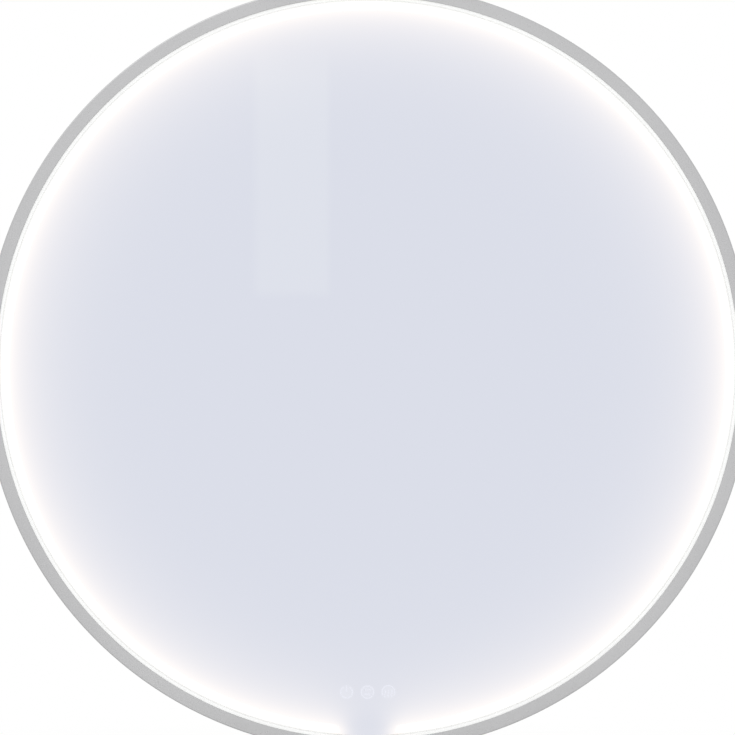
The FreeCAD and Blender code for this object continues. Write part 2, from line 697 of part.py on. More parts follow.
def back_panel():
    """Sheet steel panel with a pressed bead, the junction opening, vents and screw holes."""
    body = piece("back_panel")
    section = sketch(body, "panel_section", "YZ_Plane")
    rises = (
        ("bead_inner", "0"),
        ("bead_inner + bead_height", "bead_height"),
        ("bead_outer - bead_height", "bead_height"),
        ("bead_outer", "0"),
    )
    rear = [(radius, f"rail_space + {rise}") for radius, rise in rises]
    front = [(radius, f"panel_front + {rise}") for radius, rise in reversed(rises)]
    polygon(section, [
        ("0", "rail_space"),
        *rear,
        ("panel_radius", "rail_space"),
        ("panel_radius", "panel_front"),
        *front,
        ("0", "panel_front"),
    ])
    turn(body, section, "panel_sheet_disc")
    opening = sketch(body, "junction_opening")
    rectangle(opening, "opening_width", "opening_height", y="junction_height")
    cut(body, opening, "junction_cutout")
    radius = "screw_radius + hole_gap"
    for name, pitch_radius, angle in (("rim_hole", "flange_screws", "90 + 15"),
                                      ("hoop_hole", "hoop_screws", "90")):
        drawing = sketch(body, f"{name}_circle")
        circle(drawing, radius, *on_circle(pitch_radius, angle))
        hole = cut(body, drawing, name)
        repeat_round(body, [hole], str(SCREW_COUNT), f"{name}s")
    holes(body, "rivet_radius + hole_gap", rivet_spots(), "panel_rivet_holes")
    ears = [(x, f"{y} - driver_drop") for x, y in ear_spots()]
    covers = [(x, f"{y} + junction_height") for x, y in cover_spots()]
    holes(body, radius, ears + covers, "panel_box_holes")
    vents = sketch(body, "vent_slots")
    for side in ("", "-"):
        for step in range(VENT_COUNT):
            across = f"{side}(driver_half + vent_clear + {step} * vent_pitch)"
            slot(vents, "vent_width", "vent_length", across, "-driver_drop")
    cut(body, vents, "vents")


def panel_screws():
    """Screws that hold the panel to the frame's flange."""
    body = piece("panel_screws")
    spot = [on_circle("flange_screws", "90 + 15")]
    features = screws(body, spot, "rail_space", "panel_sheet + frame_wall + screw_grip", "panel_screw")
    repeat_round(body, features, str(SCREW_COUNT), "panel_screw_round")


def hoop_screws():
    """Screws that hold the light hoop's foot to the panel."""
    body = piece("hoop_screws")
    spot = [on_circle("hoop_screws", "90")]
    features = screws(body, spot, "rail_space", "panel_sheet + hoop_sheet + screw_grip", "hoop_screw")
    repeat_round(body, features, str(SCREW_COUNT), "hoop_screw_round")


# ---------------------------------------------------------------- glass and light

def mirror_glass():
    """Round silvered glass with a ground edge."""
    body = piece("mirror_glass")
    outline = sketch(body, "glass_outline", offset="glass_back")
    circle(outline, "glass_radius")
    pad(body, outline, "glass_thickness", "glass_disc")

    def rim(edge):
        return edge.BoundBox.ZLength < 1e-6
    round_edges(body, rim, "glass_arris", "glass_arrises", "PartDesign::Chamfer")


def diffuser_ring():
    """Opal ring: a flange behind the glass edge, and the white line between glass and frame."""
    body = piece("diffuser_ring")
    section = sketch(body, "diffuser_section", "YZ_Plane")
    polygon(section, [
        ("hoop_radius + fit_gap", "diffuser_bottom"),
        ("opening_radius - edge_gap", "diffuser_bottom"),
        ("opening_radius - edge_gap", "glass_front"),
        ("glass_radius + edge_gap", "glass_front"),
        ("glass_radius + edge_gap", "carrier_top"),
        ("hoop_radius + fit_gap", "carrier_top"),
    ])
    turn(body, section, "diffuser_turned")


def diffuser_seal():
    """Seal between the frame's ledge and the opal ring."""
    ring("diffuser_seal", "ledge_radius + fit_gap", "opening_radius - fit_gap", "ledge_top",
         "diffuser_bottom")


def glass_tape():
    """Clear bond tape between the opal ring and the glass."""
    ring("glass_tape", "glass_radius - bond_inset - bond_width", "glass_radius - bond_inset",
         "carrier_top", "glass_back")


def hoop_tape():
    """Bond tape between the hoop's lip and the glass."""
    ring("hoop_tape", "hoop_radius - bond_inset / 2 - bond_width", "hoop_radius - bond_inset / 2",
         "carrier_top", "glass_back")


def reflector_foil():
    """White foil on the panel, between hoop and frame, that throws the light forwards."""
    ring("reflector_foil", "hoop_radius + reflector_gap", "flange_radius - reflector_gap",
         "panel_front", "panel_front + reflector_sheet")


def light_hoop():
    """Rolled sheet hoop: carries the lamp strip and, on its lip, the glass."""
    body = piece("light_hoop")
    section = sketch(body, "hoop_section", "YZ_Plane")
    polygon(section, [
        ("hoop_radius", "panel_front"),
        ("hoop_radius", "carrier_top"),
        ("lip_radius", "carrier_top"),
        ("lip_radius", "carrier_top - hoop_sheet"),
        ("hoop_radius - hoop_sheet", "carrier_top - hoop_sheet"),
        ("hoop_radius - hoop_sheet", "panel_front + hoop_sheet"),
        ("hoop_radius - hoop_foot", "panel_front + hoop_sheet"),
        ("hoop_radius - hoop_foot", "panel_front"),
    ])
    turn(body, section, "hoop_rolled")
    thread = sketch(body, "hoop_screw_circle", offset="panel_front + hoop_sheet")
    circle(thread, "screw_radius + hole_gap", *on_circle("hoop_screws", "90"))
    thread_hole = cut(body, thread, "hoop_screw_hole", "hoop_sheet")
    repeat_round(body, [thread_hole], str(SCREW_COUNT), "hoop_screw_holes")
    window = sketch(body, "plug_window", "XZ_Plane", "hoop_radius - hoop_foot")
    rectangle(window, "plug_width + 2 * fit_gap", "strip_width + 2 * fit_gap", "plug_across", "hoop_middle")
    cut(body, window, "plug_window_cut", "2 * hoop_foot", forwards=True)


def led_strip():
    """Lamp strip glued round the outside of the hoop, with the gap at the bottom."""
    body = piece("led_strip")
    section = sketch(body, "strip_section", "YZ_Plane")
    rectangle(section, "strip_thickness", "strip_width", "strip_inner + strip_thickness / 2", "hoop_middle")
    turn(body, section, "strip_band", "360 - gap_angle")


def led_chips():
    """The strip's lamps, evenly spaced along it."""
    body = piece("led_chips")
    outline = sketch(body, "chip_outline", offset="hoop_middle - chip_width / 2")
    rectangle(outline, "chip_length", "chip_height", y="strip_outer + chip_height / 2")
    span = "(360 - gap_angle - 2 * chip_length / hoop_radius * 180 / pi)"
    outline.AttachmentOffset = FreeCAD.Placement(V(0, 0, 0), FreeCAD.Rotation(V(0, 0, 1), 1))
    outline.setExpression("AttachmentOffset.Rotation.Angle", formula(f"-{span} / 2"))
    chip = pad(body, outline, "chip_width", "chip_block")
    count = f"floor({span} * pi / 180 * hoop_radius / chip_pitch)"
    repeat_round(body, [chip], count, "chip_row", span)


def strip_plug():
    """Plug at the strip's end, through a window in the hoop."""
    body = piece("strip_plug")
    outline = sketch(body, "plug_outline", offset="hoop_middle - strip_width / 2")
    near, far = "-(hoop_radius - hoop_sheet - plug_depth)", "-(hoop_radius + plug_proud)"
    left, right = "plug_across - plug_width / 2", "plug_across + plug_width / 2"
    polygon(outline, [(left, far), (right, far), (right, near), (left, near)])
    pad(body, outline, "strip_width", "plug_block")


# ---------------------------------------------------------------- junction box and inlet

def cover_spots():
    """Four screws at the corners of the junction cover, about its middle."""
    return [(f"{a}cover_screw_x", f"{b}cover_screw_y") for a in ("", "-") for b in ("", "-")]


def junction_box():
    """Tray inside the panel, open to the wall side, with a screw rim."""
    body = plate("junction_box", "cover_width", "cover_height", "panel_front", "box_wall",
                 up="junction_height - hang_drop", corner="box_corner")
    tray = sketch(body, "tray_outline", offset="panel_front")
    rectangle(tray, "opening_width + 2 * box_wall", "opening_height + 2 * box_wall")
    pad(body, tray, "inner_top - panel_front", "tray_block")
    hollow = sketch(body, "tray_hollow", offset="panel_front")
    rectangle(hollow, "opening_width", "opening_height")
    cut(body, hollow, "tray_room", "box_floor - panel_front", forwards=True)
    holes(body, "screw_radius + hole_gap", cover_spots(), "box_screw_holes")
    for name, radius, side in (("supply_exit", "supply_lead / 2", "-"), ("earth_exit", "earth_lead / 2", "")):
        drawing = sketch(body, f"{name}_circle", "XZ_Plane", "opening_height / 2 - box_wall")
        circle(drawing, f"{radius} + fit_gap", f"{side}block_pitch", "block_middle")
        cut(body, drawing, name, "3 * box_wall", forwards=True)


def junction_cover():
    """Sheet cover over the junction opening, with the cable inlet."""
    body = plate("junction_cover", "cover_width", "cover_height", "cover_rear", "cover_sheet",
                 up="junction_height - hang_drop", corner="box_corner")
    holes(body, "screw_radius + hole_gap", cover_spots(), "cover_screw_holes")
    holes(body, "inlet_hole", [("0", "inlet_offset")], "cover_inlet_hole")


def cover_screws():
    """Screws through cover and panel into the junction box's rim."""
    body = piece("cover_screws", up="junction_height - hang_drop")
    reach = "cover_sheet + panel_sheet + box_wall + screw_grip"
    screws(body, cover_spots(), "cover_rear", reach, "cover_screw")


def cable_grommet():
    """Rubber grommet in the junction cover."""
    body = piece("cable_grommet", up="junction_height + inlet_offset - hang_drop")
    section = sketch(body, "grommet_section", "YZ_Plane")
    polygon(section, [
        ("inlet_radius", "cover_rear - grommet_lip"),
        ("inlet_hole + grommet_flange", "cover_rear - grommet_lip"),
        ("inlet_hole + grommet_flange", "cover_rear"),
        ("inlet_hole - glue_gap", "cover_rear"),
        ("inlet_hole - glue_gap", "rail_space"),
        ("inlet_hole + grommet_flange", "rail_space"),
        ("inlet_hole + grommet_flange", "rail_space + grommet_lip"),
        ("inlet_radius", "rail_space + grommet_lip"),
    ])
    turn(body, section, "grommet_turned")


def block_ways():
    """Middles of the terminal block's three ways."""
    return ("-block_pitch", "0", "block_pitch")


def terminal_block():
    """Three-way terminal block on the junction box's floor."""
    body = plate("terminal_block", "block_length", "block_width", "block_rear", "block_height",
                 up="junction_height - block_offset - hang_drop")
    ways = sketch(body, "block_way_circles", "XZ_Plane")
    for across in block_ways():
        circle(ways, "block_screw_radius", across, "block_middle")
    cut(body, ways, "block_wire_ways")
    wells = [(x, f"{side}block_screw_offset") for x in block_ways() for side in ("", "-")]
    drawing = sketch(body, "block_screw_wells", offset="block_rear")
    for x, y in wells:
        circle(drawing, "block_screw_radius + hole_gap", x, y)
    cut(body, drawing, "block_screw_holes", "block_screw_sink + block_screw_length", forwards=True)


def terminal_screws():
    """The clamp screws of the terminal block."""
    body = piece("terminal_screws", up="junction_height - block_offset - hang_drop")
    drawing = sketch(body, "clamp_screw_circles", offset="block_rear + block_screw_sink")
    for x in block_ways():
        for side in ("", "-"):
            circle(drawing, "block_screw_radius", x, f"{side}block_screw_offset")
    pad(body, drawing, "block_screw_length", "clamp_screws")


# ---------------------------------------------------------------- driver

def ear_spots():
    """The driver's two screws, about its middle."""
    return [("ear_screw", "0"), ("-ear_screw", "0")]


DRIVER_UP = "-driver_drop - hang_drop"


def driver_case():
    """Tray of the lamp driver, open to the glass side, with a screw ear at each end."""
    body = plate("driver_case", "driver_length", "driver_width", "panel_front", "lid_bottom - panel_front",
                 up=DRIVER_UP, corner="driver_corner")
    hollow = sketch(body, "driver_hollow", offset="panel_front + driver_wall")
    rectangle(hollow, "driver_inner_length", "driver_inner_width")
    cut(body, hollow, "driver_room", "lid_bottom - panel_front", forwards=True)
    posts = sketch(body, "driver_posts", offset="panel_front + driver_wall")
    for a in ("", "-"):
        for b in ("", "-"):
            circle(posts, "post_radius", f"{a}(driver_inner_length / 2 - post_inset)",
                   f"{b}(driver_inner_width / 2 - post_inset)")
    pad(body, posts, "post_height", "driver_post_pads")
    for side in ("", "-"):
        drawing = sketch(body, f"ear_outline_{'left' if side else 'right'}", offset="panel_front")
        rectangle(drawing, "driver_ear + driver_wall", "driver_ear_width",
                  f"{side}(driver_half + driver_ear / 2 - driver_wall / 2)")
        pad(body, drawing, "driver_ear_sheet", f"ear_{'left' if side else 'right'}")
    holes(body, "screw_radius + hole_gap", ear_spots(), "ear_holes", "panel_front + driver_ear_sheet",
          "driver_ear_sheet")
    for side, name, radius in (("-", "supply_entry", "supply_lead / 2"), ("", "output_exit", "output_lead / 2")):
        drawing = sketch(body, f"{name}_circle", "YZ_Plane", f"{side}(driver_half - driver_wall / 2)")
        circle(drawing, f"{radius} + fit_gap", "0", "part_middle")
        feature = cut(body, drawing, name, "driver_wall * 2", forwards=not side)
        feature.Midplane = True


def driver_lid():
    """Lid of the driver, with a rim inside the case."""
    body = plate("driver_lid", "driver_length", "driver_width", "lid_bottom", "driver_wall",
                 up=DRIVER_UP, corner="driver_corner")
    rim = sketch(body, "lid_rim_outline", offset="lid_bottom")
    outer = ("driver_inner_length - 2 * edge_gap", "driver_inner_width - 2 * edge_gap")
    rectangle(rim, *outer)
    rectangle(rim, *(f"{size} - 2 * driver_wall" for size in outer))
    feature = pad(body, rim, "lid_rim", "lid_rim_pad")
    feature.Reversed = True


def driver_board():
    """Circuit board of the driver, on the case's posts."""
    plate("driver_board", "driver_inner_length - 2 * fit_gap", "driver_inner_width - 2 * fit_gap",
          "driver_board_bottom", "board_sheet", up=DRIVER_UP)


def transformer_core():
    """Ferrite core: two windows round a middle leg."""
    body = plate("transformer_core", "core_length", "core_width", "part_middle - core_leg / 2", "core_leg",
                 across="-core_offset", up=DRIVER_UP)
    windows = sketch(body, "core_windows")
    width = "core_length / 2 - core_leg * 1.5"
    for side in ("", "-"):
        rectangle(windows, width, "core_width - 2 * core_leg", f"{side}(core_leg / 2 + ({width}) / 2)")
    cut(body, windows, "core_window_cuts")


def transformer_coil():
    """Winding round the core's middle leg; it stands on the board."""
    body = piece("transformer_coil", across="-core_offset", up=DRIVER_UP)
    section = sketch(body, "coil_section", "XZ_Plane")
    rectangle(section, "core_length - 2 * core_leg - 2 * fit_gap", "part_height", y="part_middle")
    rectangle(section, "core_leg + 2 * edge_gap", "core_leg + 2 * edge_gap", y="part_middle")
    pad(body, section, "core_width - 2 * core_leg - 2 * fit_gap", "coil_winding", both_ways=True)


def driver_capacitors():
    """Three capacitors that lie on the driver board."""
    body = piece("driver_capacitors", across="capacitor_offset", up=DRIVER_UP)
    section = sketch(body, "capacitor_circles", "YZ_Plane")
    for step in ("-capacitor_pitch", "0", "capacitor_pitch"):
        circle(section, "part_height / 2", step, "part_middle")
    pad(body, section, "capacitor_length", "capacitor_cans", both_ways=True)


def driver_terminals():
    """Input and output terminals at the board's ends."""
    body = piece("driver_terminals", up=DRIVER_UP)
    outline = sketch(body, "driver_terminal_outline", offset="driver_board_top")
    for side in ("", "-"):
        rectangle(outline, "terminal_length", "terminal_width", f"{side}(terminal_face - terminal_length / 2)")
    pad(body, outline, "part_height", "driver_terminal_blocks")


def driver_screws():
    """Screws through the panel into the driver's ears."""
    body = piece("driver_screws", up=DRIVER_UP)
    screws(body, ear_spots(), "rail_space", "panel_sheet + driver_ear_sheet + screw_grip", "driver_screw")


# ---------------------------------------------------------------- touch keys

TOUCH_UP = "-key_drop - hang_drop"


def key_spots():
    """Middles of the three keys."""
    return [("-key_pitch", "0"), ("0", "0"), ("key_pitch", "0")]


def socket_spots():
    """Sockets for the heater, the driver and the lamp strip."""
    return [("-heater_socket_offset", "0"), ("0", "0"), ("plug_across", "0")]


def squares(body, name, width, height, spots, offset):
    """A sketch of equal rectangles."""
    drawing = sketch(body, name, offset=offset)
    for x, y in spots:
        rectangle(drawing, width, height, x, y)
    return drawing


def touch_gasket():
    """Black foam against the glass, with a window for each key."""
    body = plate("touch_gasket", "2 * module_half", "module_height", "touch_front", "gasket_sheet",
                 up=TOUCH_UP, corner="touch_corner")
    holes(body, "key_window / 2", key_spots(), "key_windows")


def touch_cover():
    """Cover behind the touch board, glued to the gasket, with windows for the sockets."""
    body = plate("touch_cover", "2 * module_half", "module_height", "touch_rear", "touch_depth",
                 up=TOUCH_UP, corner="touch_corner")
    hollow = sketch(body, "touch_hollow", offset="touch_rear + touch_wall")
    rectangle(hollow, "2 * touch_inner_half", "touch_inner_height")
    cut(body, hollow, "touch_room", "touch_depth", forwards=True)
    width = "socket_width + 2 * fit_gap"
    windows = squares(body, "socket_windows", width, width, socket_spots(), "touch_rear + touch_wall")
    cut(body, windows, "socket_window_cuts", "2 * touch_wall")


def touch_board():
    """Touch board against the gasket."""
    plate("touch_board", "2 * (touch_inner_half - fit_gap)", "touch_inner_height - 2 * fit_gap",
          "touch_board_rear", "touch_board_sheet", up=TOUCH_UP)


def key_lamps():
    """A lamp behind each key, in the gasket's windows."""
    body = piece("key_lamps", up=TOUCH_UP)
    outline = squares(body, "key_lamp_outline", "key_lamp", "key_lamp", key_spots(), "touch_front")
    pad(body, outline, "key_lamp_height", "key_lamp_blocks")


def touch_parts():
    """Controller and sockets on the rear of the touch board."""
    body = piece("touch_parts", up=TOUCH_UP)
    sockets = squares(body, "socket_outline", "socket_width", "socket_width", socket_spots(), "socket_rear")
    pad(body, sockets, "touch_board_rear - socket_rear", "sockets")
    middle = [("-heater_socket_offset / 2", "0")]
    chip = squares(body, "touch_chip_outline", "touch_chip", "touch_chip", middle,
                   "touch_board_rear - touch_chip_height")
    pad(body, chip, "touch_chip_height", "touch_controller")


# ---------------------------------------------------------------- heater film and earth point

def heater_film():
    """Round heater film on the back of the glass, against mist."""
    body = piece("heater_film")
    outline = sketch(body, "film_outline", offset="glass_back - film_thickness")
    circle(outline, "film_radius")
    pad(body, outline, "film_thickness", "film_sheet")


def heater_tab():
    """Covered solder tab of the heater film."""
    plate("heater_tab", "film_tab_length", "film_tab_width", "glass_back - film_thickness - film_tab_height",
          "film_tab_height", across="-heater_socket_offset", up="-heater_run_top - hang_drop")


EARTH = {"across": "earth_across", "up": "earth_height - hang_drop"}


def earth_stud():
    """Threaded stud welded to the panel."""
    body = piece("earth_stud", **EARTH)
    outline = sketch(body, "stud_circle", offset="panel_front")
    circle(outline, "screw_radius")
    pad(body, outline, "earth_stud_length", "stud_rod")


def earth_lug():
    """Crimped lug of the earth lead, under the nut."""
    body = piece("earth_lug", **EARTH)
    eye = sketch(body, "lug_eye", offset="panel_front")
    circle(eye, "lug_radius")
    pad(body, eye, "lug_sheet", "lug_eye_pad")
    barrel = sketch(body, "lug_barrel_outline", offset="panel_front")
    rectangle(barrel, "lug_barrel", "earth_lead + lug_sheet", "-(lug_radius + lug_barrel / 2)")
    pad(body, barrel, "earth_lead + lug_sheet", "lug_barrel_pad")
    neck = sketch(body, "lug_neck", offset="panel_front")
    rectangle(neck, "lug_radius", "earth_lead + lug_sheet", "-lug_radius * 0.75")
    pad(body, neck, "lug_sheet", "lug_neck_pad")
    holes(body, "screw_radius + hole_gap", [("0", "0")], "lug_hole")


def earth_nut():
    """Hexagon nut on the earth stud."""
    body = piece("earth_nut", **EARTH)
    outline = sketch(body, "nut_outline", offset="panel_front + lug_sheet")
    corner = "nut_flats / 2 / cos(30)"
    polygon(outline, [on_circle(corner, str(60 * step)) for step in range(6)])
    circle(outline, "screw_radius + hole_gap")
    pad(body, outline, "nut_height", "nut_block")


# ---------------------------------------------------------------- leads and clips

def lead(name, diameter, route):
    """A lead of round section: straight runs between points, joined by wide tangent arcs."""
    points = [V(*(value(text) for text in point)) for point in route]
    edges = []
    start = points[0]
    tightest = None
    for before, corner, after in zip(points, points[1:], points[2:]):
        back, ahead = before - corner, after - corner
        half_turn = (math.pi - back.getAngle(ahead)) / 2
        trim = min(0.45 * min(back.Length, ahead.Length), value("lead_bend") * math.tan(half_turn))
        radius = trim / math.tan(half_turn)
        tightest = min(radius, tightest or radius)
        back.normalize()
        ahead.normalize()
        first, last = corner + back * trim, corner + ahead * trim
        bisector = back + ahead
        bisector.normalize()
        middle = corner + bisector * (math.hypot(radius, trim) - radius)
        edges.append(Part.LineSegment(start, first).toShape())
        edges.append(Part.Arc(first, middle, last).toShape())
        start = last
    edges.append(Part.LineSegment(start, points[-1]).toShape())
    path = Part.Wire(edges)
    section = Part.Circle(points[0], points[1] - points[0], value(diameter) / 2).toShape()
    tube = path.makePipeShell([Part.Wire([section])], True, False)
    wanted = math.pi * (value(diameter) / 2) ** 2 * path.Length
    if abs(tube.Volume - wanted) > 0.01 * wanted:
        raise RuntimeError(f"{name} has a volume of {tube.Volume:.1f}, not {wanted:.1f}")
    print(f"{name}: {path.Length:.0f} mm long, tightest bend {tightest:.1f} mm")
    feature = doc.addObject("Part::Feature", name)
    feature.Label = name
    feature.Shape = tube
    stand(feature)


def leads():
    """The mirror's inner leads, from terminal to terminal."""
    beside = "swing_across"
    lead("supply_lead", "supply_lead", [
        ("-block_pitch", "block_bottom", "block_middle"),
        ("-block_pitch", "junction_height - cover_height / 2 - supply_lead", "block_middle"),
        (f"-{beside}", "-driver_drop + driver_width", "part_middle"),
        (f"-{beside}", "-driver_drop", "part_middle"),
        ("-terminal_face", "-driver_drop", "part_middle"),
    ])
    lead("output_lead", "output_lead", [
        ("terminal_face", "-driver_drop", "part_middle"),
        (beside, "-driver_drop", "part_middle"),
        (beside, "-output_run_top", "lead_level"),
        (beside, "-key_drop + lead_corner", "lead_level"),
        ("module_half", "-key_drop + clip_length", "lead_level"),
        ("0", "-key_drop", "lead_level"),
        ("0", "-key_drop", "socket_rear"),
    ])
    lead("heater_lead", "heater_lead", [
        ("-heater_socket_offset", "-key_drop", "socket_rear"),
        ("-heater_socket_offset", "-key_drop", "lead_level"),
        ("-heater_socket_offset", "-heater_run_top", "lead_level"),
        ("-heater_socket_offset", "-heater_run_top", "glass_back - film_thickness - film_tab_height"),
    ])
    lead("strip_lead", "strip_lead", [
        ("plug_across", "-key_drop", "socket_rear"),
        ("plug_across", "-key_drop", "hoop_middle"),
        ("plug_across", "-(hoop_radius - hoop_sheet - plug_depth)", "hoop_middle"),
    ])
    barrel_end = "earth_across - lug_radius - lug_barrel"
    lug_level = "panel_front + (earth_lead + lug_sheet) / 2"
    lead("earth_lead", "earth_lead", [
        ("block_pitch", "block_bottom", "block_middle"),
        ("block_pitch", "earth_height", "block_middle"),
        (f"{barrel_end} - 2 * lug_barrel", "earth_height", lug_level),
        (barrel_end, "earth_height", lug_level),
    ])


def lead_clips():
    """Two clips on the output lead and two on the heater lead, stuck to the panel."""
    body = piece("lead_clips")
    output, heater = "output_lead / 2", "heater_lead / 2"
    clips = (
        ("output_clip_upper", output, "swing_across", "output_run_top + output_run / 4"),
        ("output_clip_lower", output, "swing_across", "output_run_top + output_run / 2"),
        ("heater_clip_upper", heater, "-heater_socket_offset", "heater_run_top + heater_run / 3"),
        ("heater_clip_lower", heater, "-heater_socket_offset", "heater_run_top + heater_run * 2 / 3"),
    )
    for name, radius, across, drop in clips:
        drawing = sketch(body, f"{name}_section", "XZ_Plane", drop)
        loop = f"({radius} + fit_gap + clip_wall)"
        foot = f"({loop} + clip_foot)"
        polygon(drawing, [
            (f"{across} - {foot}", "panel_front"),
            (f"{across} + {foot}", "panel_front"),
            (f"{across} + {foot}", "panel_front + clip_wall"),
            (f"{across} + {loop}", "panel_front + clip_wall"),
            (f"{across} + {loop}", f"lead_level + {loop}"),
            (f"{across} - {loop}", f"lead_level + {loop}"),
            (f"{across} - {loop}", "panel_front + clip_wall"),
            (f"{across} - {foot}", "panel_front + clip_wall"),
        ])
        circle(drawing, f"{radius} + fit_gap", across, "lead_level")
        pad(body, drawing, "clip_length", f"{name}_loop", both_ways=True)


# ---------------------------------------------------------------- the whole mirror

for build in (
    wall_rail, hanger_rail, hanger_rivets, wall_bumpers,
    frame_ring, frame_joint_key, frame_joint_screws, back_panel, panel_screws, hoop_screws,
    mirror_glass, diffuser_ring, diffuser_seal, glass_tape, light_hoop, hoop_tape,
    reflector_foil, led_strip, led_chips, strip_plug,
    junction_box, junction_cover, cover_screws, cable_grommet, terminal_block, terminal_screws,
    driver_case, driver_lid, driver_board, transformer_core, transformer_coil,
    driver_capacitors, driver_terminals, driver_screws,
    touch_gasket, touch_cover, touch_board, key_lamps, touch_parts,
    heater_film, heater_tab, earth_stud, earth_lug, earth_nut,
    leads, lead_clips,
):
    build()

doc.recompute()

for item in doc.Objects:
    if "Invalid" in item.State or "Error" in item.State:
        raise RuntimeError(f"{item.Label} could not be made")

os.makedirs("parts", exist_ok=True)
for item in pieces:
    if item.Shape.isNull() or not item.Shape.isValid():
        raise RuntimeError(f"{item.Label} has no sound shape")
    item.Shape.exportStep(f"parts/{item.Label}.step")
print(f"{len(pieces)} sub-parts")
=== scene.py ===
"""Looks of the round lighted wall mirror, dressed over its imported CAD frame.

Metres, and millimetres where a comment or docstring says mm. X runs right, Y towards the wall (the glass
faces -Y) and Z up. The wall screws are at Z = 0, and the mirror's centre is 150 mm below them.
"""
import math

import bmesh
import bpy
from mathutils import Matrix, Vector


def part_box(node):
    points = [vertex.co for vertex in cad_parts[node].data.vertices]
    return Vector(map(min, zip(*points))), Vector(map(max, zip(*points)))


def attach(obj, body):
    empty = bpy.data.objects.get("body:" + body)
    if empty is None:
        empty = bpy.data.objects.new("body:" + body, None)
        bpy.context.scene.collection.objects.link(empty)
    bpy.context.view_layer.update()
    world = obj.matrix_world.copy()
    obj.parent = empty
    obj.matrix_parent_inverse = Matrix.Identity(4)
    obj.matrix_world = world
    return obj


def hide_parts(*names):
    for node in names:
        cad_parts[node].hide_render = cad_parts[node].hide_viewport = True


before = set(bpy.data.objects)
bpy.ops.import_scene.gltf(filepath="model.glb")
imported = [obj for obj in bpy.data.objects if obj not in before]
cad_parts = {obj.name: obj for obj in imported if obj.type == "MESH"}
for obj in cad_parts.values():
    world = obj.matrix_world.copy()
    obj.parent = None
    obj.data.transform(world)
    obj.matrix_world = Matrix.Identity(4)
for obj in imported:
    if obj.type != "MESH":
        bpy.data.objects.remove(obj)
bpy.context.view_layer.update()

MM = 0.001

# ---------------------------------------------------------------- sizes of the mirror
frame_low, frame_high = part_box("frame_ring")
glass_low, glass_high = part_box("mirror_glass")
opal_low, opal_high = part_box("diffuser_ring")
panel_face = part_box("back_panel")[1].y
centre_z = (frame_low.z + frame_high.z) / 2

# in mm: radii, and depths, which are 0 at the wall and below zero in front of it
FRAME_RADIUS = round((frame_high.x - frame_low.x) / 2 / MM)
GLASS_RADIUS = round((glass_high.x - glass_low.x) / 2 / MM)
FACE = round(frame_low.y / MM, 2)
FRAME_REAR = round(frame_high.y / MM, 2)
GLASS_FRONT = round(glass_low.y / MM, 2)
GLASS_BACK = round(glass_high.y / MM, 2)
OPAL_FRONT = round(opal_low.y / MM, 2)
OPAL_REAR = round(opal_high.y / MM, 2)
PANEL_REAR = round(panel_face / MM, 2)

# in mm: the frame's extrusion and what it holds
FACE_WIDTH = 10.0
WALL = 1.6
LEDGE_WIDTH = 4.0       # carries the opal ring
SEAL = 0.5              # between ledge and opal ring
FLANGE_WIDTH = 10.0     # the panel is screwed to it
PANEL_SHEET = 1.2
OPAL_SHEET = 2.5        # the opal ring's flange
HOOP_RADIUS = 270.0     # the hoop that carries the lamps
HOOP_SHEET = 1.2
HOOP_FOOT = 12.0        # screwed to the panel
OPENING = FRAME_RADIUS - FACE_WIDTH

# ---------------------------------------------------------------- the lamps' light as painted glow on glass and ring, as in the photograph
# in mm from the mirror's centre
BAND = (278.6, 282.8)   # the frosted band begins at the first radius and is whole at the second
RIM_FADE = (284.4, 286.4)  # its painted glow weakens towards the glass edge between these radii
GROUND_EDGE = 286.6     # from here outwards the glass is ground, so it is matt all the way round
OPAL_LIP = (286.9, 287.9)  # the opal ring's painted glow is dimmer at its inner edge, between these radii
LAMP_LINE = 282.0       # radius of the light, for what the gap leaves of it
HALO_START = 287.1      # the painted glow on the mirror is measured inwards from here
HALO_FLAT = 4.0         # and doesn't grow any more over the last few mm
NEAR_REACH = 7.0        # its short and its long reach, to 1/e
FAR_REACH = 27.3
# in mm from the middle of the dark gap over the keys
GAP_BAND = (20.5, 31.0)  # the band fades in over this stretch
GAP_HALF = 18.0         # half of the gap in the glow on the mirror
GAP_BLUR = 8.0          # how softly that gap begins
UPPER_STRETCH = 10.0    # above the mirror's centre, each mm up counts as this many aside
# emission: the painted glow
BAND_POWER = 0.6
RIM_POWER = 0.19
NEAR_POWER = 0.278
FAR_POWER = 0.327
KEY_POWER = 0.024       # the painted soft spot of light round a key
OPAL_POWER = (0.22, 0.25)  # the opal ring's painted glow, where it is dimmest and brightest
OPAL_LIP_SHARE = 0.72
OPAL_GAP_SHARE = 0.5    # the ring's painted glow keeps this share in the gap, for the light that runs along inside the ring
WARM_HALO = (1.0, 0.80, 0.50)      # colour of the painted warm halo on the mirror
BAND_LIGHT = (1.0, 0.985, 0.95)    # the frosted band's painted glow, in the lamps' own warm white
OPAL_LIGHT = (1.0, 0.99, 0.97)

# the touch keys, in mm
KEY_PITCH = 16.3
KEY_COUNT = 3
KEY_DROP = 252.9        # below the mirror's centre
KEY_SPOT = (7.4, 3.0)   # the painted spot of light round a key begins and is whole this far from its middle

NOISE = (0.3, 0.7)      # nearly all of a noise pattern lies between these


# ---------------------------------------------------------------- colours and nodes
def colour(hexa):
    """sRGB hex to linear RGBA."""
    parts = [int(hexa[i:i + 2], 16) / 255 for i in (1, 3, 5)]
    return tuple(p / 12.92 if p <= 0.04045 else ((p + 0.055) / 1.055) ** 2.4 for p in parts) + (1.0,)


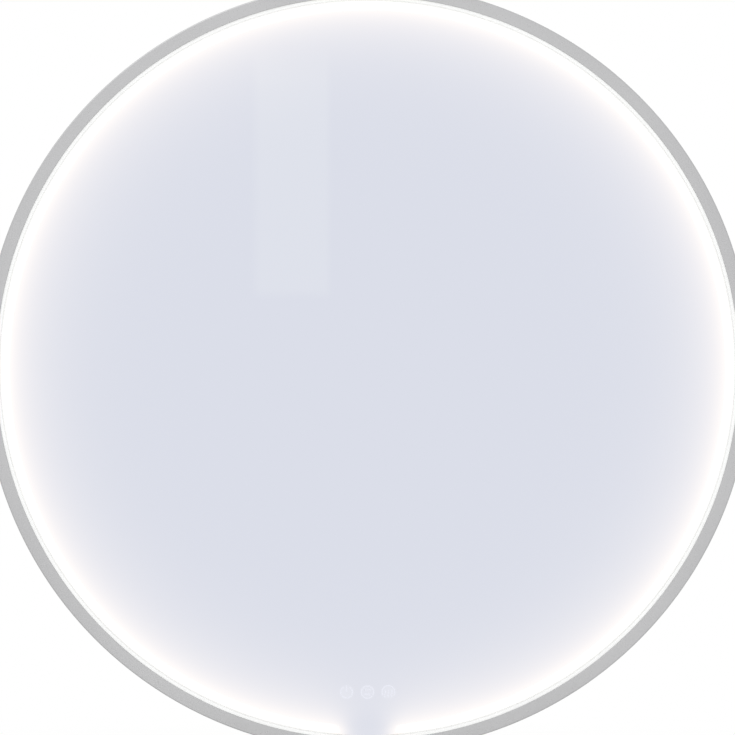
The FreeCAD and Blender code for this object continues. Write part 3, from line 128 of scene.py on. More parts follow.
def add(tree, kind, *values, stops=(), **settings):
    """Adds one shader node. The values fill its inputs in order, and those of a dict by name; a node or an
    output given for a value is linked. The settings are the node's own, the stops are a ramp's colours."""
    made = tree.nodes.new("ShaderNode" + kind)
    for name, setting in settings.items():
        setattr(made, name, setting)
    for i, (place, hexa) in enumerate(stops):
        stop = made.color_ramp.elements[i]
        stop.position = place
        stop.color = colour(hexa)
    named = values[-1] if values and isinstance(values[-1], dict) else {}
    for socket, value in [*enumerate(v for v in values if v is not named), *named.items()]:
        if isinstance(value, bpy.types.Node):
            value = value.outputs[0]
        if isinstance(value, bpy.types.NodeSocket):
            tree.links.new(value, made.inputs[socket])
        else:
            made.inputs[socket].default_value = value
    return made


def start(name, base, rough, metal=0.0):
    """A new material with one Principled shader; gives (material, tree, shader, Object coordinates)."""
    made = bpy.data.materials.new(name)
    made.use_nodes = True
    tree = made.node_tree
    tree.nodes.clear()
    shader = add(tree, "BsdfPrincipled",
                 {"Base Color": colour(base), "Roughness": rough, "Metallic": metal})
    add(tree, "OutputMaterial", shader)
    return made, tree, shader, add(tree, "TexCoord").outputs["Object"]


def wear(tree, shader, **links):
    """Links patterns to the shader's sockets: base, rough, metal, glow or normal."""
    names = {"base": "Base Color", "rough": "Roughness", "metal": "Metallic", "glow": "Emission Color",
             "normal": "Normal"}
    for key, node in links.items():
        tree.links.new(node.outputs[0], shader.inputs[names[key]])
    if "glow" in links:
        shader.inputs["Emission Strength"].default_value = 1.0


def seen_rays(tree):
    """The Light Path, and 1 for its rays that show the background: straight, mirrored or through glass."""
    path = add(tree, "LightPath")
    seen = add(tree, "Math", path.outputs["Is Camera Ray"], path.outputs["Is Glossy Ray"],
               operation="MAXIMUM")
    seen = add(tree, "Math", seen, path.outputs["Is Transmission Ray"], operation="MAXIMUM")
    return path, seen


# ---------------------------------------------------------------- the painted glow on glass and ring
def from_centre(tree, point):
    """x, z and radius in mm, measured from the mirror's centre."""
    parts = add(tree, "SeparateXYZ", point)
    x_mm = add(tree, "Math", parts.outputs[0], 1 / MM, operation="MULTIPLY")
    z_mm = add(tree, "Math", parts.outputs[2], 1 / MM, -centre_z / MM, operation="MULTIPLY_ADD")
    squares = add(tree, "Math", x_mm, x_mm, operation="MULTIPLY")
    squares = add(tree, "Math", z_mm, z_mm, squares, operation="MULTIPLY_ADD")
    return x_mm, z_mm, add(tree, "Math", squares, operation="SQRT")


def beside_gap(tree, x_mm, z_mm):
    """Distance in mm from the middle of the dark gap, made large in the upper half, where there is none."""
    upper = add(tree, "Math", z_mm, 0.0, operation="MAXIMUM")
    aside = add(tree, "Math", x_mm, operation="ABSOLUTE")
    return add(tree, "Math", upper, UPPER_STRETCH, aside, operation="MULTIPLY_ADD")


def lit_band(tree, across):
    """Whether a lamp is right behind a place: 0 in the gap, 1 beside it."""
    return add(tree, "MapRange", across, *GAP_BAND, interpolation_type="SMOOTHSTEP")


def lamp_share(tree, across, radius):
    """The share of a long line of lamps that a place inside it sees, past the gap in the line."""
    depth = add(tree, "Math", LAMP_LINE, radius, operation="SUBTRACT")
    depth = add(tree, "Math", depth, 0.0, operation="MAXIMUM")
    depth = add(tree, "Math", depth, depth, GAP_BLUR ** 2, operation="MULTIPLY_ADD")
    # the sines of the angles to the gap's two ends give what it takes away
    sines = []
    for side in (1.0, -1.0):
        edge = add(tree, "Math", across, side, GAP_HALF, operation="MULTIPLY_ADD")
        reach = add(tree, "Math", edge, edge, depth, operation="MULTIPLY_ADD")
        reach = add(tree, "Math", reach, operation="SQRT")
        sines.append(add(tree, "Math", edge, reach, operation="DIVIDE"))
    lost = add(tree, "Math", *sines, operation="ADD")
    return add(tree, "MapRange", lost, 0.0, 2.0, 1.0, 0.0)


def halo_power(tree, radius):
    """The painted glow on the mirror beside the band: it falls to 1/e over a short reach and over a long
    one.
    """
    inwards = add(tree, "Math", HALO_START, radius, operation="SUBTRACT")
    inwards = add(tree, "Math", inwards, HALO_FLAT, operation="MAXIMUM")
    near = add(tree, "Math", inwards, -NEAR_REACH, operation="DIVIDE")
    near = add(tree, "Math", near, operation="EXPONENT")
    near = add(tree, "Math", near, NEAR_POWER, operation="MULTIPLY")
    far = add(tree, "Math", inwards, -FAR_REACH, operation="DIVIDE")
    far = add(tree, "Math", far, operation="EXPONENT")
    return add(tree, "Math", far, FAR_POWER, near, operation="MULTIPLY_ADD")


def key_glow(tree, x_mm, z_mm):
    """A painted soft spot of glow round each of the three keys, for the small lamp behind it."""
    nearest = add(tree, "Math", x_mm, KEY_PITCH / 2, -KEY_PITCH / 2, operation="WRAP")
    down = add(tree, "Math", z_mm, KEY_DROP, operation="ADD")
    squares = add(tree, "Math", nearest, nearest, operation="MULTIPLY")
    squares = add(tree, "Math", down, down, squares, operation="MULTIPLY_ADD")
    away = add(tree, "Math", squares, operation="SQRT")
    spot = add(tree, "MapRange", away, *KEY_SPOT, interpolation_type="SMOOTHSTEP")
    aside = add(tree, "Math", x_mm, operation="ABSOLUTE")
    keys = add(tree, "Math", aside, KEY_COUNT * KEY_PITCH / 2, operation="LESS_THAN")
    keys = add(tree, "Math", keys, KEY_POWER, operation="MULTIPLY")
    return add(tree, "Math", spot, keys, operation="MULTIPLY")


FROST_ROUGH = 0.45
MIRROR_ROUGH = (0.004, 0.016)
PAINT_LAYER = (0.2, 0.1)  # mm in front of the glass's rear face, where the paint begins and is whole


def silvered_glass():
    """Float glass silvered behind: a clear reflection, faintly blue-grey. Its edge is sandblasted; its
    white frost shows only where the lamps are behind it, and there it has a painted glow, with a painted
    warm halo on the mirror beside it. The silvering's rear is covered with matt grey paint."""
    made, tree, shader, point = start("silvered_float_glass", "#DBDEE9", 0.02, 1.0)
    x_mm, z_mm, radius = from_centre(tree, point)
    across = beside_gap(tree, x_mm, z_mm)
    # where it is frosted, ground or painted, and so matt; the frosted band counts only where a lamp is
    # behind it, so its white is partly painted light
    frost = add(tree, "MapRange", radius, *BAND, interpolation_type="SMOOTHSTEP")
    band = add(tree, "Math", frost, lit_band(tree, across), operation="MULTIPLY")
    ground = add(tree, "Math", radius, GROUND_EDGE, operation="GREATER_THAN")
    white = add(tree, "Math", band, ground, operation="MAXIMUM")
    depth = add(tree, "SeparateXYZ", point).outputs[1]
    paint = add(tree, "MapRange", depth, *((GLASS_BACK - layer) * MM for layer in PAINT_LAYER))
    matt = add(tree, "Math", white, paint, operation="MAXIMUM")
    mirror = add(tree, "Math", 1.0, matt, operation="SUBTRACT")
    sheen = add(tree, "TexNoise", point, {"Scale": 1 / (80 * MM)})
    sheen = add(tree, "MapRange", sheen, *NOISE, *MIRROR_ROUGH)
    rough = add(tree, "Math", matt, FROST_ROUGH, sheen, operation="MULTIPLY_ADD")
    tint = add(tree, "ValToRGB", white, stops=((0.0, "#DBDEE9"), (1.0, "#E6E6E6")))
    # the band's painted glow weakens towards the glass edge, and it takes the painted halo with it there
    edge = add(tree, "MapRange", radius, *RIM_FADE, interpolation_type="SMOOTHSTEP")
    power = add(tree, "MapRange", edge, 0.0, 1.0, BAND_POWER, RIM_POWER)
    power = add(tree, "Math", white, power, operation="MULTIPLY")
    lost = add(tree, "Math", edge, band, operation="MULTIPLY")
    lost = add(tree, "Math", lost, ground, operation="MAXIMUM")
    kept = add(tree, "Math", 1.0, lost, operation="SUBTRACT")
    # painted warm halo on the mirror beside the band
    halo = add(tree, "Math", halo_power(tree, radius), lamp_share(tree, across, radius),
               operation="MULTIPLY")
    halo = add(tree, "Math", halo, kept, operation="MULTIPLY")
    # painted glow: band, halo and key spots are added as emission
    band_glow = add(tree, "VectorMath", BAND_LIGHT, {"Scale": power}, operation="SCALE")
    halo_glow = add(tree, "VectorMath", WARM_HALO, {"Scale": halo}, operation="SCALE")
    glow = add(tree, "VectorMath", band_glow, halo_glow, operation="ADD")
    glow = add(tree, "VectorMath", glow, key_glow(tree, x_mm, z_mm), operation="ADD")
    wear(tree, shader, metal=mirror, rough=rough, glow=glow,
         base=add(tree, "MixRGB", paint, tint, colour("#646D6C")))
    return made


def etched_mark():
    """Key symbol sandblasted through the silvering: matt, with a painted glow for its small lamp behind it.
    """
    made, tree, shader, point = start("etched_key_mark", "#9A9DA8", 0.5)
    speck = add(tree, "TexNoise", point, {"Scale": 1 / (0.4 * MM), "Detail": 3.0})
    # painted glow of the small lamp behind the key
    wear(tree, shader,
         glow=add(tree, "ValToRGB", speck, stops=((0.3, "#B8B8BD"), (0.7, "#BEBEC3"))),
         rough=add(tree, "MapRange", speck, *NOISE, 0.45, 0.6))
    return made


def opal_acrylic():
    """Extruded opal acrylic, bent to a ring: milky and softly glossy, with a painted glow for the lamps
    behind it.
    """
    made, tree, shader, point = start("opal_acrylic", "#E5E6E6", 0.28)
    x_mm, z_mm, radius = from_centre(tree, point)
    # painted glow: patchy, weaker at the inner edge and in the gap
    cloud = add(tree, "TexNoise", point, {"Scale": 1 / (24 * MM), "Detail": 2.0})
    cloud = add(tree, "MapRange", cloud, *NOISE, *OPAL_POWER)
    lip = add(tree, "MapRange", radius, *OPAL_LIP, OPAL_LIP_SHARE, 1.0)
    lit = lit_band(tree, beside_gap(tree, x_mm, z_mm))
    lit = add(tree, "MapRange", lit, 0.0, 1.0, OPAL_GAP_SHARE, 1.0)
    power = add(tree, "Math", cloud, lit, operation="MULTIPLY")
    power = add(tree, "Math", power, lip, operation="MULTIPLY")
    wear(tree, shader, glow=add(tree, "VectorMath", OPAL_LIGHT, {"Scale": power}, operation="SCALE"))
    return made


# ---------------------------------------------------------------- metals
EDGE_PAINTED_SHADE = 0.88       # painted shade: the face's rounded outer edge is this much of its brightness
EDGE_IN = (1.4, 0.6)    # the painted shade begins and is full this many mm inside the rim
EDGE_BACK = (1.5, 0.8)  # and this many mm behind the face


def satin_anodised():
    """Bead-blasted and clear anodised aluminium: an even, soft silver with a very fine grain, and a painted
    shade that darkens the rounded outer edge of the face."""
    made, tree, shader, point = start("satin_anodised_aluminium", "#C2C3C4", 0.3, 1.0)
    # the grit is 0.1 mm and drawn at 0.6 mm to show
    blast = add(tree, "TexNoise", point, {"Scale": 1 / (1.2 * MM), "Detail": 4.0, "Roughness": 0.6})
    patch = add(tree, "TexNoise", point, {"Scale": 1 / (120 * MM), "Detail": 2.0})
    tone = add(tree, "Math", patch, 0.6, operation="MULTIPLY")
    tone = add(tree, "Math", blast, 0.4, tone, operation="MULTIPLY_ADD")
    silver = add(tree, "ValToRGB", tone, stops=((0.35, "#C0C0C1"), (0.65, "#C6C6C7")))
    radius = from_centre(tree, point)[2]
    depth = add(tree, "SeparateXYZ", point).outputs[1]
    # painted shade: the base colour is darkened on the face's rounded outer edge
    rim = add(tree, "MapRange", radius, *(FRAME_RADIUS - inside for inside in EDGE_IN))
    face = add(tree, "MapRange", depth, *((FACE + behind) * MM for behind in EDGE_BACK))
    rounded = add(tree, "Math", rim, face, operation="MULTIPLY")
    painted_shade = add(tree, "MapRange", rounded, 0.0, 1.0, 1.0, EDGE_PAINTED_SHADE)
    wear(tree, shader,
         base=add(tree, "VectorMath", silver, {"Scale": painted_shade}, operation="SCALE"),
         rough=add(tree, "MapRange", blast, *NOISE, 0.26, 0.38),
         normal=add(tree, "Bump", {"Height": blast, "Distance": 0.01 * MM, "Strength": 0.6}))
    return made


def spangled_zinc(name, shift, dark, light):
    """Hot-dip galvanised sheet under a matt clear coat: zinc crystals a finger wide, each with its own
    grey and its own feathering. The shift gives each sheet crystals of its own."""
    made, tree, shader, point = start(name, dark, 0.42, 1.0)
    placed = add(tree, "Mapping", point, shift)
    # ragged borders: crystals of 10 mm, pushed about by up to 2.5 mm
    push = add(tree, "TexNoise", placed, {"Scale": 1 / (7 * MM), "Detail": 4.0})
    ragged = add(tree, "VectorMath", push.outputs["Color"], (2.5 * MM,) * 3, placed,
                 operation="MULTIPLY_ADD")
    crystals = add(tree, "TexVoronoi", ragged, {"Scale": 1 / (10 * MM)})
    own = add(tree, "SeparateColor", crystals.outputs["Color"])
    # feathering runs along a direction of each crystal's own
    turn = add(tree, "Math", own.outputs[1], math.pi, operation="MULTIPLY")
    turned = add(tree, "VectorRotate", placed, {"Angle": turn}, rotation_type="Y_AXIS")
    feather = add(tree, "Mapping", turned, {"Scale": (1.0, 1.0, 0.12)})
    feather = add(tree, "TexNoise", feather, {"Scale": 1 / (1.6 * MM), "Detail": 4.0, "Roughness": 0.6})
    tone = add(tree, "Math", feather, 0.55, operation="MULTIPLY")
    tone = add(tree, "Math", own.outputs[0], 0.42, tone, operation="MULTIPLY_ADD")
    wear(tree, shader,
         base=add(tree, "ValToRGB", tone, stops=((0.22, dark), (0.72, light))),
         rough=add(tree, "MapRange", tone, 0.2, 0.8, 0.5, 0.3),
         normal=add(tree, "Bump", {"Height": tone, "Distance": 0.02 * MM, "Strength": 0.4}))
    return made


def bright_zinc(name, dark, light):
    """Zinc-plated and blue-passivated steel strip: bright silver with fine rolling lines along it."""
    made, tree, shader, point = start(name, dark, 0.26, 1.0)
    rolling = add(tree, "Mapping", point, {"Scale": (0.02, 1.0, 1.0)})
    rolling = add(tree, "TexNoise", rolling, {"Scale": 1 / (0.9 * MM), "Detail": 4.0})
    cloud = add(tree, "TexNoise", point, {"Scale": 1 / (26 * MM), "Detail": 4.0})
    tone = add(tree, "Math", rolling, 0.35, operation="MULTIPLY")
    tone = add(tree, "Math", cloud, 0.65, tone, operation="MULTIPLY_ADD")
    wear(tree, shader,
         base=add(tree, "ValToRGB", tone, stops=((0.35, dark), (0.65, light))),
         rough=add(tree, "MapRange", rolling, *NOISE, 0.2, 0.36),
         normal=add(tree, "Bump", {"Height": rolling, "Distance": 0.012 * MM, "Strength": 0.5}))
    return made


def plated_screw():
    """Zinc-plated screw steel: bright, with the faint pits of barrel plating."""
    made, tree, shader, point = start("zinc_plated_screw_steel", "#C9CBCD", 0.24, 1.0)
    pits = add(tree, "TexNoise", point, {"Scale": 1 / (0.7 * MM), "Detail": 4.0})
    wear(tree, shader,
         base=add(tree, "ValToRGB", pits, stops=((0.3, "#B1B4B8"), (0.65, "#D2D4D6"))),
         rough=add(tree, "MapRange", pits, *NOISE, 0.18, 0.36),
         normal=add(tree, "Bump", {"Height": pits, "Distance": 0.02 * MM, "Strength": 0.5}))
    return made


def mill_metal(name, dark, light, rough):
    """Metal as it leaves the press or the die: pale, with fine drawing lines."""
    made, tree, shader, point = start(name, dark, rough, 1.0)
    lines = add(tree, "Mapping", point, {"Scale": (1.0, 0.05, 1.0)})
    lines = add(tree, "TexNoise", lines, {"Scale": 1 / (0.6 * MM), "Detail": 4.0})
    wear(tree, shader,
         base=add(tree, "ValToRGB", lines, stops=((0.3, dark), (0.7, light))),
         rough=add(tree, "MapRange", lines, *NOISE, rough - 0.06, rough + 0.08),
         normal=add(tree, "Bump", {"Height": lines, "Distance": 0.01 * MM, "Strength": 0.4}))
    return made


# ---------------------------------------------------------------- rubber, plastic, film and board
def moulded(name, dark, light, rough, skin_mm, depth_mm):
    """A moulded plastic or rubber, or a film: the texture of its tool as bump, and a little unevenness
    in colour and gloss. skin_mm is the width of one grain of the texture, depth_mm its height."""
    made, tree, shader, point = start(name, dark, rough)
    skin = add(tree, "TexNoise", point, {"Scale": 1 / (2 * skin_mm * MM), "Detail": 4.0})
    cloud = add(tree, "TexNoise", point, {"Scale": 1 / (30 * MM), "Detail": 3.0})
    tone = add(tree, "Math", skin, 0.4, operation="MULTIPLY")
    tone = add(tree, "Math", cloud, 0.6, tone, operation="MULTIPLY_ADD")
    wear(tree, shader,
         base=add(tree, "ValToRGB", tone, stops=((0.35, dark), (0.65, light))),
         rough=add(tree, "MapRange", skin, *NOISE, rough - 0.07, rough + 0.08),
         normal=add(tree, "Bump", {"Height": skin, "Distance": depth_mm * MM, "Strength": 0.6}))
    return made


def solder_mask():
    """Glass-fibre circuit board: copper tracks show as paler lines under the gloss of the solder mask."""
    made, tree, shader, point = start("green_circuit_board", "#0E5A30", 0.32)
    upright = add(tree, "Mapping", point, {"Rotation": (math.radians(90), 0, 0)})
    tracks = add(tree, "TexBrick", upright, colour("#0E5A30"), colour("#11633A"), colour("#2A7F4A"), {
        "Scale": 1.0, "Mortar Size": 0.25 * MM, "Brick Width": 6.0 * MM, "Row Height": 2.5 * MM,
    })
    raised = tracks.outputs["Fac"]
    wear(tree, shader, base=tracks,
         normal=add(tree, "Bump", {"Height": raised, "Distance": 0.03 * MM, "Strength": 0.5}))
    return made


def earth_sheath():
    """Earth lead: PVC sheath in two colours, green with a yellow stripe every 16 mm."""
    made, tree, shader, point = start("earth_lead_sheath", "#3F8F3A", 0.42)
    # a diagonal wave repeats every tau / 10 / scale metres along an axis, so every 15.7 mm
    stripe = add(tree, "TexWave", point, {"Scale": 40.0, "Distortion": 0.6}, bands_direction="DIAGONAL")
    wear(tree, shader,
         base=add(tree, "ValToRGB", stripe, stops=((0.46, "#3F8F3A"), (0.54, "#D8C52C"))),
         rough=add(tree, "MapRange", stripe, 0.0, 1.0, 0.4, 0.46))
    return made


def heater_laminate():
    """Defogging heater: polyester film over an etched foil track that winds to and fro every 31 mm."""
    made, tree, shader, point = start("heater_laminate", "#CDA766", 0.34)
    # a straight wave repeats every tau / 20 / scale metres, so every 31.4 mm
    track = add(tree, "TexWave", point, {"Scale": 10.0, "Distortion": 0.2}, bands_direction="Z")
    raised = track.outputs["Fac"]
    wear(tree, shader,
         base=add(tree, "ValToRGB", track, stops=((0.4, "#D9BD86"), (0.6, "#B9BBBC"))),
         rough=add(tree, "MapRange", track, 0.4, 0.6, 0.3, 0.4),
         normal=add(tree, "Bump", {"Height": raised, "Distance": 0.02 * MM, "Strength": 0.4}))
    return made


FINISHES = {
    "frame_aluminium": satin_anodised(),
    "mirror_glass": silvered_glass(),
    "opal_acrylic": opal_acrylic(),
    "panel_steel": spangled_zinc("spangled_panel_sheet", (0.0, 0.0, 0.0), "#ADB2B6", "#C7CBCE"),
    "zinc_steel": bright_zinc("bright_zinc_rail", "#B9C0C9", "#D0D3D6"),
    "steel_screw": plated_screw(),
    "rivet_aluminium": mill_metal("rivet_aluminium_alloy", "#C4C6C8", "#DADBDC", 0.3),
    "key_aluminium": mill_metal("key_aluminium_extrusion", "#C2C4C6", "#D4D5D6", 0.34),
    "hoop_aluminium": mill_metal("hoop_aluminium_extrusion", "#CFD0D1", "#E2E2E2", 0.3),
    "tinned_copper": mill_metal("tinned_copper_lug", "#BDB9B2", "#D6D3CC", 0.28),
    "bumper_rubber": moulded("epdm_bumper_rubber", "#1B1B1C", "#272728", 0.62, 0.5, 0.05),
    "seal_rubber": moulded("silicone_seal_rubber", "#222223", "#2D2D2E", 0.5, 0.8, 0.03),
    "black_tape": moulded("black_foam_tape", "#1B1B1C", "#242425", 0.85, 0.4, 0.05),
    "black_foam": moulded("closed_cell_foam", "#161617", "#222223", 0.88, 0.6, 0.08),
    "clear_tape": moulded("clear_acrylic_tape", "#DDE0E0", "#E8EAEA", 0.3, 1.5, 0.01),
    "white_foil": moulded("white_reflector_film", "#F0F0EE", "#F6F6F4", 0.7, 0.5, 0.01),
    "strip_board": moulded("white_flexible_board", "#E8E8E2", "#F0F0EA", 0.38, 0.8, 0.01),
    "lamp_chip": moulded("phosphor_silicone", "#EFD56C", "#F4DE83", 0.35, 0.3, 0.01),
    "white_nylon": moulded("white_nylon_66", "#E2E1DB", "#ECEBE6", 0.42, 0.6, 0.02),
    "black_plastic": moulded("black_abs", "#17181A", "#202123", 0.5, 0.5, 0.04),
    "driver_plastic": moulded("white_polycarbonate", "#DDDDD9", "#E5E5E1", 0.38, 0.7, 0.02),
    "capacitor_sleeve": moulded("blue_shrink_sleeve", "#1D2550", "#27305E", 0.25, 2.0, 0.01),
    "ferrite": moulded("fired_ferrite", "#222326", "#2E3034", 0.6, 0.3, 0.03),
    "winding_tape": moulded("yellow_polyester_tape", "#D9A91C", "#E3B833", 0.35, 1.0, 0.01),
    "lead_sheath": moulded("white_pvc_sheath", "#E6E6E4", "#EEEEEC", 0.45, 0.8, 0.01),
    "white_sheath": moulded("white_silicone_sheath", "#E9E9E7", "#F1F1EF", 0.5, 0.8, 0.01),
    "green_board": solder_mask(),
    "earth_sheath": earth_sheath(),
    "heater_film": heater_laminate(),
}
# two parts of a shared slot come from another sheet or strip than their neighbour
OWN_FINISHES = {
    "junction_cover": spangled_zinc("spangled_cover_sheet", (0.31, 0.0, 0.17), "#B7BCBF", "#D1D4D6"),
    "hanger_rail": bright_zinc("bright_zinc_hanger", "#B1B8C1", "#C9CDD1"),
}

for name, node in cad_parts.items():
    for place in node.material_slots:
        place.material = OWN_FINISHES.get(name, FINISHES[place.material.name.split(".")[0]])


# ---------------------------------------------------------------- making pieces
MERGE = 0.001           # mm: points nearer than this are one
SHARP = 32              # degrees: an edge that turns more than this stays sharp


def finish_piece(shape, name, slot, *replaced, material=None):
    """Turns the bmesh into a piece of the mirror, smooth up to sharp edges, that stands for CAD nodes."""
    bmesh.ops.remove_doubles(shape, verts=shape.verts, dist=MERGE * MM)
    bmesh.ops.recalc_face_normals(shape, faces=shape.faces)
    mesh = bpy.data.meshes.new(name)
    shape.to_mesh(mesh)
    shape.free()
    mesh.shade_smooth()
    mesh.set_sharp_from_angle(angle=math.radians(SHARP))
    mesh.materials.append(material or FINISHES[slot])
    made = bpy.data.objects.new(name, mesh)
    bpy.context.scene.collection.objects.link(made)
    # large flat faces keep their own normal, so that they mirror as flat ones
    flats = made.modifiers.new("flat_faces", "WEIGHTED_NORMAL")
    flats.weight = 100
    flats.keep_sharp = True
    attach(made, "mirror")
    if replaced:
        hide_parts(*replaced)


def lathe(shape, outline, steps, closed=False, turn=math.tau, z=0.0):
    """Spins an outline of (radius, depth) in mm about an axis along Y, z metres up. Gives the edges of the
    outline and those where the turn ends."""
    corners = [shape.verts.new((r * MM, y * MM, z)) for r, y in outline]
    nexts = corners[1:] + corners[:1] if closed else corners[1:]
    edges = [shape.edges.new(pair) for pair in zip(corners, nexts)]
    whole = turn == math.tau
    last = bmesh.ops.spin(shape, geom=corners + edges, cent=(0, 0, z), axis=(0, 1, 0), angle=turn,
                          steps=steps, use_merge=whole)["geom_last"]
    return edges, [e for e in last if isinstance(e, bmesh.types.BMEdge)]


def copies(shape, spots):
    """The shape, made about the origin's Y axis, once at each (x, y, z) in metres."""
    made = bmesh.new()
    one = bpy.data.meshes.new("one")
    shape.to_mesh(one)
    shape.free()
    for spot in spots:
        before = len(made.verts)
        made.from_mesh(one)
        made.verts.ensure_lookup_table()
        bmesh.ops.translate(made, verts=made.verts[before:], vec=spot)
    bpy.data.meshes.remove(one)
    return made


def thicken(shape, vec):
    """Extrudes the flat faces by vec, in metres."""
    body = bmesh.ops.extrude_face_region(shape, geom=shape.faces[:])["geom"]
    moved = [v for v in body if isinstance(v, bmesh.types.BMVert)]
    bmesh.ops.translate(shape, verts=moved, vec=vec)


# ---------------------------------------------------------------- frame, opal ring and glass
RING_STEPS = 288
# in mm
SEAM = 0.2              # hairline joint at the bottom, where the bent frame closes
LIP_EDGE = 0.3          # the frame's inner edges are broken by this much
OPAL_GAP = 0.2          # between the glass and the opal ring
OPAL_FIT = 0.05         # between the opal ring and the frame
HOOP_FIT = 0.3          # between the opal ring and the hoop
ARRIS = 0.35            # ground edge of the glass
# rounded edges: how far each point lies from the side, and from the face
OUTER_EDGE = ((0, 1.0), (0.08, 0.62), (0.3, 0.3), (0.62, 0.08), (1.0, 0))
INNER_EDGE = ((LIP_EDGE, 0), (0.09, 0.09), (0, LIP_EDGE))
OPAL_OUTER_EDGE = ((0, 0.15), (0.05, 0.04), (0.17, 0))
OPAL_INNER_EDGE = ((0.25, 0), (0.08, 0.07), (0, 0.25))


def mirror_frame():
    """The bent extrusion: flat face, soft outer edges, hollow front and the flange that takes the panel."""
    inside = FRAME_RADIUS - WALL
    ledge_front = OPAL_REAR + SEAL
    flange_rear = PANEL_REAR - PANEL_SHEET
    outer = (
        *((FRAME_RADIUS - inwards, FACE + behind) for inwards, behind in OUTER_EDGE),
        *((OPENING + outwards, FACE + behind) for outwards, behind in INNER_EDGE),
        (OPENING, ledge_front), (OPENING - LEDGE_WIDTH, ledge_front),
        (OPENING - LEDGE_WIDTH, ledge_front + WALL), (inside, ledge_front + WALL),
        (inside, flange_rear - WALL), (inside - FLANGE_WIDTH, flange_rear - WALL),
        (inside - FLANGE_WIDTH, flange_rear), (inside, flange_rear),
        (inside, FRAME_REAR - LIP_EDGE), (inside + LIP_EDGE, FRAME_REAR),
        *((FRAME_RADIUS - inwards, FRAME_REAR - before) for inwards, before in reversed(OUTER_EDGE)),
    )
    hollow = (
        (OPENING + WALL, ledge_front), (OPENING + WALL, FACE + WALL),
        (inside, FACE + WALL), (inside, ledge_front),
    )
    shape = bmesh.new()
    seam_angle = SEAM / FRAME_RADIUS
    starts, ends = [], []
    for outline in (outer, hollow):
        first, last = lathe(shape, outline, RING_STEPS, closed=True, turn=math.tau - seam_angle)
        starts += first
        ends += last
    for section in (starts, ends):
        bmesh.ops.triangle_fill(shape, edges=section, use_beauty=True)
    seam_down = Matrix.Rotation(math.radians(90) + seam_angle / 2, 4, "Y")
    bmesh.ops.transform(shape, matrix=Matrix.Translation((0, 0, centre_z)) @ seam_down, verts=shape.verts)
    finish_piece(shape, "mirror_frame", "frame_aluminium", "frame_ring")


def opal_line():
    """White ring round the glass: a thin wall that shows, and a flange that runs in behind the glass."""
    hole = HOOP_RADIUS + HOOP_FIT
    outer = OPENING - OPAL_FIT
    inner = GLASS_RADIUS + OPAL_GAP
    flange_front = OPAL_REAR - OPAL_SHEET
    shape = bmesh.new()
    lathe(shape, (
        (hole, OPAL_REAR), (outer, OPAL_REAR),
        *((outer - inwards, OPAL_FRONT + behind) for inwards, behind in OPAL_OUTER_EDGE),
        *((inner + outwards, OPAL_FRONT + behind) for outwards, behind in OPAL_INNER_EDGE),
        (inner, flange_front), (hole, flange_front),
    ), RING_STEPS, closed=True, z=centre_z)
    finish_piece(shape, "opal_line", "opal_acrylic", "diffuser_ring")


def glass_disc():
    """Mirror glass with ground arrises."""
    upright = Matrix.Rotation(math.radians(90), 4, "X")
    shape = bmesh.new()
    bmesh.ops.create_circle(
        shape, cap_ends=True, segments=RING_STEPS, radius=GLASS_RADIUS * MM,
        matrix=Matrix.Translation((0, GLASS_BACK * MM, centre_z)) @ upright,
    )
    thicken(shape, (0, (GLASS_FRONT - GLASS_BACK) * MM, 0))
    rims = [e for e in shape.edges if abs(e.verts[0].co.y - e.verts[1].co.y) < MERGE * MM]
    bmesh.ops.bevel(shape, geom=rims, offset=ARRIS * MM, segments=1, profile=0.5, affect="EDGES",
                    material=-1)
    finish_piece(shape, "glass_disc", "mirror_glass", "mirror_glass")


# ---------------------------------------------------------------- key symbols, in mm
MARK_PROUD = 0.05       # a mark stands this far off the glass, so that it has a surface of its own
MARK_LINE = 0.95        # width of its lines
MARK_STEPS = 60         # corners of a ring
MARK_END = 0.46         # the rounding of a line's ends, as a share of its width
ETCHED = etched_mark()


def ring_mark(shape, radius, opening=0.0, up=1):
    """A flat ring, with a gap of so many degrees at each side of its top, or of its foot where up is -1."""
    loops = []
    for edge in (radius - MARK_LINE / 2, radius + MARK_LINE / 2):
        loops += bmesh.ops.create_circle(shape, segments=MARK_STEPS, radius=edge * MM)["verts"]
    both = set(loops)
    rims = [e for e in shape.edges if both.issuperset(e.verts)]
    faces = bmesh.ops.bridge_loops(shape, edges=rims)["faces"]
    if opening:
        middles = [(f, f.calc_center_median()) for f in faces]
        gone = [f for f, m in middles if abs(math.degrees(math.atan2(m.x, up * m.y))) < opening]
        bmesh.ops.delete(shape, geom=gone, context="FACES")


def line_mark(shape, foot, length, turn=0.0, wave=0.0):
    """A line of round ends from foot (x, y) in mm, turned from upright by degrees, and waved sideways."""
    pieces = 10 if wave else 1
    made = bmesh.ops.create_grid(shape, x_segments=1, y_segments=pieces, size=0.5)["verts"]
    ends = [v for v in made if abs(v.co.y) > 0.499]
    for corner in made:
        corner.co.x = corner.co.x * MARK_LINE * MM + wave * MM * math.sin(math.tau * corner.co.y)
        corner.co.y = (corner.co.y + 0.5) * length * MM
    place = Matrix.Translation((foot[0] * MM, foot[1] * MM, 0))
    bmesh.ops.transform(shape, matrix=place @ Matrix.Rotation(math.radians(turn), 4, "Z"), verts=made)
    bmesh.ops.bevel(shape, geom=ends, offset=MARK_END * MARK_LINE * MM, segments=3, profile=0.5,
                    affect="VERTICES", material=-1)


